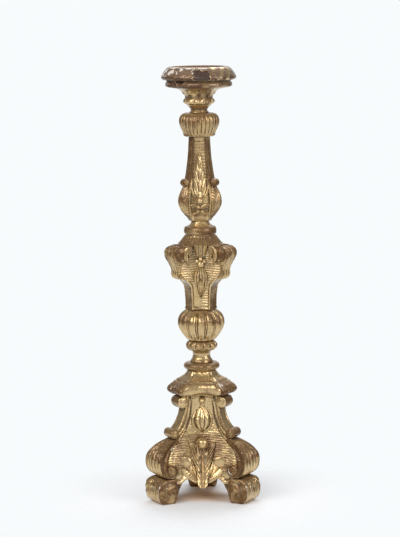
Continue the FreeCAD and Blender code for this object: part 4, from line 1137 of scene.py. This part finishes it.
def lappet(place, seed):
    """Drapery under the shoulder: a tongue in soft cosine folds, with two curled leaves on either side."""
    g = vase_ground
    u = np.linspace(-1, 1, 61)[None, :]
    v = np.linspace(0, 1, 50)[:, None]
    z = 340.0 + 5.5 * u ** 2 + v * (17.4 - 5.5 * u ** 2)
    tongue = 3.6 + 3.6 * v + 0.7 * np.cos(3 * math.pi * u)
    forms = [(plaque(u * (7.6 + 1.6 * v), z, tongue, g, place), 0.16)]
    inner = [(9.5, 357), (13.4, 352), (13.8, 345), (10.6, 338)]
    outer = [(12.5, 357), (18.4, 351), (19.6, 342), (16.8, 330)]
    for way in (1, -1):
        forms.append((leaflet(inner, 3.3, 4.6, g, place, way, spine=0.9), 0.0))
        forms.append((leaflet(outer, 3.4, 3.6, g, place, way, ribs=2), -0.06))
    return shells_of(forms, seed)


def shoulder():
    """Turned slope over the vase with a round band on it and a hollow to the baluster's foot.

    The slope's radius is cut by 34 shallow flutes of uneven spacing.
    """
    profile = moulding([(6, 357.0), (30.6, 357.0), (29.4, 358.6), (25.6, 363.2), (22.4, 367.4),
                        (20.4, 369.6), (20.6, 370.4), (22.0, 371.6), (22.5, 375.0), (22.0, 378.6),
                        (20.6, 380.8), (17.4, 381.4), (14.0, 384.4), (11.9, 388.2), (11.7, 389.0),
                        (6, 389.0)], 112, 1.3)

    def flutes(angle, r, z):
        """Flutes on the slope, none on its ends."""
        x = 34 * angle / TAU + 0.2 * np.sin(5 * angle)
        return -0.8 * scratch(x, 0.8) * ramp(z, 357.4, 359) * (1 - ramp(z, 366.5, 369.5))

    rings = lathe(profile, 306, flutes)
    z = rings[..., 2]
    bare = 0.14 + 0.12 * (1 - ramp(z, 366, 370)) - 0.2 * ramp(z, 381, 384)
    return Shell(rings, bare, seed=25, rough=0.14)


def baluster_face(z):
    """Distance from the axis to the middle of a baluster panel."""
    return through(z, (389, 11.5), (399.4, 16.0), (414.5, 18.8), (433, 17), (455, 14), (476, 11.8),
                   (505, 10.4))


def baluster_edge(z):
    """Radius and half width at which the baluster's side meets the corner flat."""
    face = baluster_face(z)
    return 1.27 * face, 0.46 * face


def baluster_ground(x, z):
    """Outward distance of a baluster panel's sunk ground at x across and level z."""
    return side_ground(x, baluster_face(z), baluster_edge(z), STEM_CURVE) - PANEL_SINK


def baluster_body():
    """Three-sided baluster: a sunk panel between raised ribs on each side, two grooves on each corner flat.

    The panel has level strokes 4.1 mm apart, deep near its top, and two oval hollows at its foot.
    """
    columns = 91
    flats = 11
    s = np.linspace(-1, 1, columns)[None, :]
    z = np.linspace(389, 505, 200)[:, None]
    off = np.abs(s)
    side = side_grid(z, s, baluster_face(z), baluster_edge(z), STEM_CURVE)
    x = side[..., 0]
    beside = np.abs(x) - 7.4
    oval = np.hypot(beside / 5.8, (z - 405.4 - 0.16 * beside) / 3.8)
    stroke = z / 4.1 + 0.06 * np.sin(x / 4.0 + z / 8.0)
    panel = (1 - ramp(off, 0.74, 0.84)) * ramp(z, 396, 400) * (1 - ramp(z, 500, 503))
    strokes = (0.12 + 0.5 * ramp(z, 452, 468)) * scratch(stroke, 0.55) * panel * ramp(z, 412, 420)
    ribs = (1.6 + 0.8 * (1 - ramp(z, 436, 450))) * hump(off - 0.88, 0.11) * ramp(z, 394, 402)
    height = -PANEL_SINK * panel - strokes + ribs - 1.2 * hump(oval, 1.0)
    rings = around(carve(side, height, wrap_round=False), flats)
    across = 2 * np.maximum(run_round(columns, flats), 1) - 3
    grooves = hump(np.abs(across) - 0.58, 0.36) * ramp(z, 440, 448) * (1 - ramp(z, 498, 504))
    rings = carve(rings, -0.9 * grooves)
    inside = 1 - ramp(off, 0.7, 0.8)
    tone = 0.2 - 0.06 * ramp(z, 412, 425) * inside - 0.34 * (1 - inside) * (1 - ramp(z, 430, 450))
    return Shell(rings, thrice(tone + 0.1 * hump(oval, 1.1), 0.24, flats), seed=26, rough=0.06)


def leaf_spray(place, seed):
    """Spray on the baluster: an ear of pointed leaves, two leaves beside it, a bead, and a bow at its foot.

    The ear is a plaque of level z and width share u: reeds slanting up to a rib along the middle.
    """
    g = baluster_ground
    u = np.linspace(-1, 1, 61)[None, :]
    z = np.linspace(422.0, 483.0, 110)[:, None]
    wide = through(z, (422, 2.0), (427, 6.6), (433, 8.8), (443, 8.6), (455, 6.2), (467, 3.8), (483, 0.6))
    x = u * wide
    leaves = reed((z - 3.2 * np.abs(x)) / 16.0 + 0.3)
    ear = 2.6 + 0.8 * leaves + 1.2 * hump(x, 1.8) - 0.3 * hump(np.abs(x) - 2.6, 1.0)
    ear = ear * ramp(1 - np.abs(u), 0.0, 0.12) ** 0.5
    forms = [plaque(x, z, ear, g, place)]
    bow = {"spine": 0.4, "taper": (0.2, 0.4)}
    leaves = [
        ([(1.0, 423), (7.6, 425), (11.4, 433), (10.2, 450)], 2.8, {}),
        ([(0.2, 406.4), (4.6, 410.4), (10.0, 412.2), (15.0, 409.6)], 3.4, bow),
        ([(0.2, 404.4), (4.6, 400.8), (9.6, 399.4), (14.6, 401.0)], 3.4, bow),
    ]
    for way in (1, -1):
        forms += [leaflet(curve, 2.0, height, g, place, way, **style) for curve, height, style in leaves]
    forms.append(knob(0.0, 418.0, 4.4, g, place, 0.7))
    return shells_of([(rings, -0.08) for rings in forms], seed, 0.06)


def leaf_scroll(place, seed):
    """Leaf on a corner of the baluster: a pear-shaped outline carried across, reeded, and a rolled button."""
    outline = moulding([(11, 391.4), (15.6, 392.6), (20.6, 396.6), (25.6, 403.2), (28.8, 410.0),
                        (29.9, 416.4), (29.2, 423.0), (27.0, 429.6), (24.6, 434.8), (22.4, 439.4),
                        (18.0, 441.0), (13.0, 438.0), (10, 415)], 120, 3.0, closed=True)

    def half(r, z):
        """Half width by level."""
        return through(z, (391, 5.4), (400, 7.2), (412, 8.8), (424, 8.0), (434, 6.2), (441, 5.2))

    def side(distance, bearing, k):
        """A low dome cut by rings 3.4 mm apart."""
        return 0.4 * (1 - k ** 2) - 0.8 * scratch(distance / 3.4, 0.5) * ramp(k, 0.3, 0.5)

    def face(a, run):
        """Ribs on a slightly domed face."""
        ribs = reeding(a * 1.9 + 0.5, 0.6) * (1 - ramp(np.abs(a), 0.86, 0.97))
        return 1.7 * ribs + 0.5 * (1 - a ** 2) + 0 * run

    leaf = slab(outline, np.array([21.5, 416.0]), half, face, side, place, 18, 44, 0.14)
    button = roll(23.0, 442.0, 5.1, 5.6, place, 0.14, 0.5, turns=1.1, dome=1.4, count=44)
    return [Shell(leaf, 0.16, seed=seed, rough=0.14), Shell(button, 0.24, seed=seed + 1, rough=0.1)]


# Top: crown knop, cup and drip pan

def crown_knop():
    """Lobed crown under the cup: 26 lobes without darts."""
    profile = moulding([(6, 505.0), (20.4, 505.0), (21.8, 506.2), (21.9, 509.0), (22.6, 511.2),
                        (25.0, 516.0), (27.2, 521.6), (27.7, 527.0), (26.2, 532.2), (22.8, 535.8),
                        (18.6, 536.9), (6, 537.0)], 80, 2.6)
    return gadrooned(profile, 468, 26, 3.0, 506.0, 540.5, 27, 0.14, darts=False)


def cup_stage():
    """Small cup that carries the pan: a neck, a beaded belly and a petalled flare, hollow at its top.

    Outside the hollow, the radius gains nine bosses on the belly, and nine petals with hearts on the flare.
    """
    profile = moulding([(5, 537.0), (13.6, 537.0), (13.2, 538.2), (11.2, 540.4), (12.4, 543.4),
                        (16.2, 546.8), (17.2, 548.6), (20.2, 549.8), (21.7, 552.6), (20.8, 555.6),
                        (19.0, 557.4), (19.2, 560.4), (21.6, 564.2), (26.4, 568.2), (33.0, 570.6),
                        (38.6, 571.6), (38.6, 572.0), (16.9, 572.0), (16.9, 561.3), (5, 561.2)], 150, 0.9)

    def carved(angle, r, z):
        """Bosses, petals and hearts, on the outside alone."""
        x = 9 * (angle / TAU + 0.25)
        bosses = 3.0 * (reed(x + 0.5) - 0.86) * hump(z - 552.8, 4.6)
        petals = 2.5 * (reed(x) - 0.9) * ramp(z, 557.2, 560.5) * (1 - ramp(z, 568.6, 571.4))
        heart = 2.4 * hump(np.hypot(x - np.round(x), (z - 563.5) / 12.0), 0.3)
        return np.where(r > 17.4, bosses + petals + heart, 0.0)

    rings = lathe(profile, 342, carved)
    z = rings[..., 2]
    # Painted shade: from 555 mm up the flare under the pan is made worn brown to stand for the pan's shadow
    tone = -0.06 + 0.3 * ramp(z, 555, 559) + 0.12 * (1 - ramp(z, 540, 546))
    return Shell(rings, tone, seed=28, rough=0.0)


def drip_pan():
    """Round pan: a turned profile of a rolled lip, a rounded rim slope and a flat dish.

    Its outside is moved in along the radius by chance lumps, by chips about the left, and by a bared patch
    with a ragged edge and a crack beside it in front. White ground shows about the left and along the crack
    and rim, and leaf is kept at the right of the patch.
    """
    profile = moulding([(12.3, 566.1), (16.4, 566.1), (16.4, 572.0), (42.6, 572.1), (45.4, 573.4),
                        (46.0, 576.0), (45.2, 578.8), (43.4, 580.2), (44.6, 581.4), (49.4, 582.6),
                        (51.3, 584.4), (51.4, 586.8), (49.6, 590.4), (46.2, 595.2), (42.8, 598.8),
                        (40.0, 600.0), (36.0, 600.0), (34.0, 597.0), (32.4, 591.6), (30.6, 590.0),
                        (12.3, 590.0)], 172, 1.2, closed=True)
    rings = lathe(profile, 300)
    x, y, z = np.moveaxis(rings, -1, 0)
    r = np.hypot(x, y)
    angle = np.degrees(np.arctan2(y, x))
    outer = ramp(r, 36.5, 42.0)
    lumps = 0.35 * uneven(rings, 31, 15.0) + 0.2 * uneven(rings, 32, 6.0)
    left = np.degrees(np.abs(np.angle(np.exp(1j * np.radians(angle - 212.0)))))
    chips = ramp(uneven(rings, 33, 12.0) + 0.2 * uneven(rings, 34, 5.0), -0.1, 0.3) * (1 - ramp(left, 22, 40))
    chips = chips * hump(z - 578.5, 7.5)
    ragged = angle + 1.6 * uneven(rings, 35, 5.0)
    patch = ramp(ragged, -99.5, -97.5) * (1 - ramp(ragged, -74, -71))
    patch = patch * (z < 597.0 + uneven(rings, 36, 9.0)) * ramp(z, 582.4, 583.2)
    crack = hump(ragged + 101.0, 0.8) * ramp(z, 583, 586)
    cut = -0.4 * np.abs(lumps) + 0.5 * lumps - 3.0 * chips - 0.9 * patch - 1.1 * crack
    rings = rings + np.stack([x / r, y / r, 0 * z], -1) * (np.minimum(cut, 0.12) * outer)[..., None]
    outside = (r > 38.0) & (z > 572.6)
    whites = ramp(uneven(rings, 37, 10.0) + 0.5 * uneven(rings, 38, 4.0), 0.35, 0.75)
    whites = whites * (1 - ramp(left, 20, 46)) * ramp(z, 584, 590)
    rim = hump(ragged + 100.6, 1.3) * ramp(z, 586, 589)
    rim = rim + hump(z - 598.6, 1.0) * ramp(uneven(rings, 42, 12.0), 0.0, 0.3)
    golds = ramp(uneven(rings, 39, 17.0) + 0.35 * uneven(rings, 40, 5.0), -0.2, 0.15)
    golds = golds * ramp(angle, -70, -64) * (1 - ramp(angle, -30, -10)) * ramp(z, 581, 585)
    bare = 0.16 + 1.2 * whites * (patch < 0.3) + 1.2 * rim * (patch < 0.4) * (r > 36) - 0.45 * golds
    bare = bare + (0.25 - 0.4 * ramp(angle, -100, -70)) * (1 - ramp(z, 578, 581)) * (1 - chips)
    bare = np.where(outside, bare, 0.1)
    bare = np.where((patch > 0.45) & outside, -0.9, bare)
    bare = np.where(chips > 0.4, 0.45, bare)
    return Shell(rings, bare, wrap=True, seed=41, rough=0.0)


# The whole

piece("waisted_body", [base_body()], "base_body")
for k, place in enumerate(CORNERS):
    sweep, bracket = console_strap(place, 60 + 10 * k)
    piece("scroll_console_" + place, console_scroll(place, 40 + 10 * k) + sweep, "corner_console_" + place)
    piece("rolled_bracket_" + place, bracket, "cap_bracket_" + place)
    piece("scroll_foot_" + place, [scroll_foot(place, 80 + k)], "foot_" + place)
    piece("vase_bracket_" + place, [vase_console(place, 90 + k)], "vase_console_" + place)
    piece("belly_leaf_" + place, leaf_scroll(place, 100 + 3 * k), "leaf_scroll_" + place)
for k, place in enumerate(PANELS):
    piece("fan_leaf_" + place, acanthus(place, 120 + 20 * k), "base_leaf_" + place)
    piece("lobed_bud_" + place, lobed_bud(place, 180 + 10 * k), "base_bud_" + place)
    piece("hanging_husk_" + place, husk(place, 210 + 20 * k), "vase_husk_" + place)
    piece("fluted_lappet_" + place, lappet(place, 270 + 20 * k), "vase_lappet_" + place)
    piece("pointed_spray_" + place, leaf_spray(place, 330 + 30 * k), "leaf_spray_" + place)
piece("blocked_cap", [base_cap()], "base_cap")
piece("round_collar", [ring_collar()], "base_collar")
piece("leafy_neck", [leafy_neck()], "lower_neck")
piece("lobed_knop", [gadroon_knop()], "gadroon_knop")
piece("hatched_vase", [vase_body()], "vase")
piece("fluted_shoulder", [shoulder()], "shoulder_collar")
piece("panelled_baluster", [baluster_body()], "baluster")
piece("lobed_crown", [crown_knop()], "crown_knop")
piece("beaded_cup", [cup_stage()], "pan_cup")
piece("chipped_pan", [drip_pan()], "drip_pan", slot="worn_pan")

for node, material in (("candle_cup", dull_brass()), ("foot_dowels", plain_wood())):
    for obj in bpy.data.objects:
        if obj.type == "MESH" and obj.name.split(".")[0] == node:
            obj.data.materials.clear()
            obj.data.materials.append(material)


# Floor, light and camera

def pale_floor():
    """Pale sheet under the object: nearly white, a little mottled, its far edge faded into the background.

    Close under the base, where the floor is mostly covered, it is painted warm brown: painted shade and
    painted bounce light from the gilding.
    """
    material, nodes, where = new_material("pale_floor")
    tint = nodes.tint(nodes.noise(where, 6.0, 3.0), (0.84, 0.85, 0.875), (0.87, 0.88, 0.9))
    # Painted shade and painted bounce light: where occlusion within 7 cm is high, under the base, the floor
    # turns warm brown
    tint = nodes.mix(nodes.shade(0.07, 12).spread(0.4, 0.13), tint, (0.87, 0.55, 0.32))
    sheen = nodes.add("BsdfPrincipled", **{"Base Color": tint, "Roughness": 0.7})
    fade = nodes.field(nodes.add("VectorMath", where, operation="LENGTH"), "Value").spread(0.04, 0.26)
    both = nodes.add("MixShader", fade, sheen.outputs[0], nodes.add("BsdfTransparent").outputs[0])
    nodes.add("OutputMaterial", Surface=both.outputs[0])
    mesh = bpy.data.meshes.new("floor_sheet")
    mesh.from_pydata([(-1, -1, 0), (1, -1, 0), (1, 1, 0), (-1, 1, 0)], [], [(0, 1, 2, 3)])
    mesh.materials.append(material)
    sheet = bpy.data.objects.new("floor_sheet", mesh)
    bpy.context.scene.collection.objects.link(sheet)


def lamp(name, place, aim, size, watts, tint):
    """Square soft light at a place, turned towards a point."""
    data = bpy.data.lights.new(name, "AREA")
    data.size = size
    data.energy = watts
    data.color = tint
    obj = bpy.data.objects.new(name, data)
    obj.location = place
    obj.rotation_euler = (Vector(aim) - Vector(place)).to_track_quat("-Z", "Y").to_euler()
    bpy.context.scene.collection.objects.link(obj)


def studio():
    """Surroundings: dim cool light from all sides, and a white background to look at.

    Seen straight or through something, they are white. In a reflection they are white behind the object and
    low down, by smooth steps of the direction's y, and of its z with up to 0.3 added away from the front, and
    elsewhere a grey room.
    """
    world = bpy.data.worlds.new("studio")
    bpy.context.scene.world = world
    nodes = Nodes(world)
    ray = nodes.add("LightPath")
    direct = nodes.field(ray, "Is Camera Ray").most(nodes.field(ray, "Is Transmission Ray"))
    seen = direct.most(nodes.field(ray, "Is Glossy Ray"))
    way = nodes.add("SeparateXYZ", nodes.add("TexCoord").outputs["Generated"])
    y = nodes.field(way, "Y")
    aside = nodes.add("MapRange", y, **{"From Min": -0.85, "From Max": -0.25, "To Max": 0.3})
    low = (nodes.field(way, "Z") + nodes.field(aside, "Result")).spread(0.2, -0.1)
    white = y.spread(0.7, 1.0).most(low).most(direct)
    room = nodes.add("Background", nodes.mix(white, (0.22, 0.215, 0.21), (0.94, 0.965, 0.98)), Strength=1.0)
    dim = nodes.add("Background", (0.94, 0.97, 1.0), Strength=0.35)
    both = nodes.add("MixShader", seen, dim.outputs[0], room.outputs[0])
    nodes.add("OutputWorld", Surface=both.outputs[0])


def front_view():
    """Camera 2.9 m in front of the object and 722 mm up, tilted down, rolled by the lean of the picture."""
    place = Matrix.Translation((-0.0009, -2.9, 0.722))
    degrees_down = 7.857
    degrees_rolled = -0.594
    tilt = Matrix.Rotation(math.radians(90.0 - degrees_down), 4, "X")
    lean = Matrix.Rotation(math.radians(degrees_rolled), 4, "Z")
    data = bpy.data.cameras.new("front_view")
    data.sensor_fit = "VERTICAL"
    data.sensor_height = 36.0
    data.lens = 142.1
    data.clip_end = 50.0
    eye = bpy.data.objects.new("front_view", data)
    eye.matrix_world = place @ tilt @ lean
    bpy.context.scene.collection.objects.link(eye)
    bpy.context.scene.camera = eye


bpy.context.scene.view_settings.view_transform = "Standard"
pale_floor()
lamp("key_left", (-1.7, -1.7, 1.9), (0, 0, 0.3), 1.4, 40.0, (1.0, 0.98, 0.95))
lamp("fill_right", (1.9, -1.4, 1.2), (0, 0, 0.3), 1.3, 28.0, (0.98, 0.98, 1.0))
lamp("front_soft", (-0.5, -2.3, 1.7), (0, 0, 0.2), 1.0, 18.0, (1.0, 0.99, 0.97))
lamp("top_back", (0.3, 1.2, 2.1), (0, 0, 0.3), 1.4, 22.0, (1.0, 1.0, 1.0))
studio()
front_view()
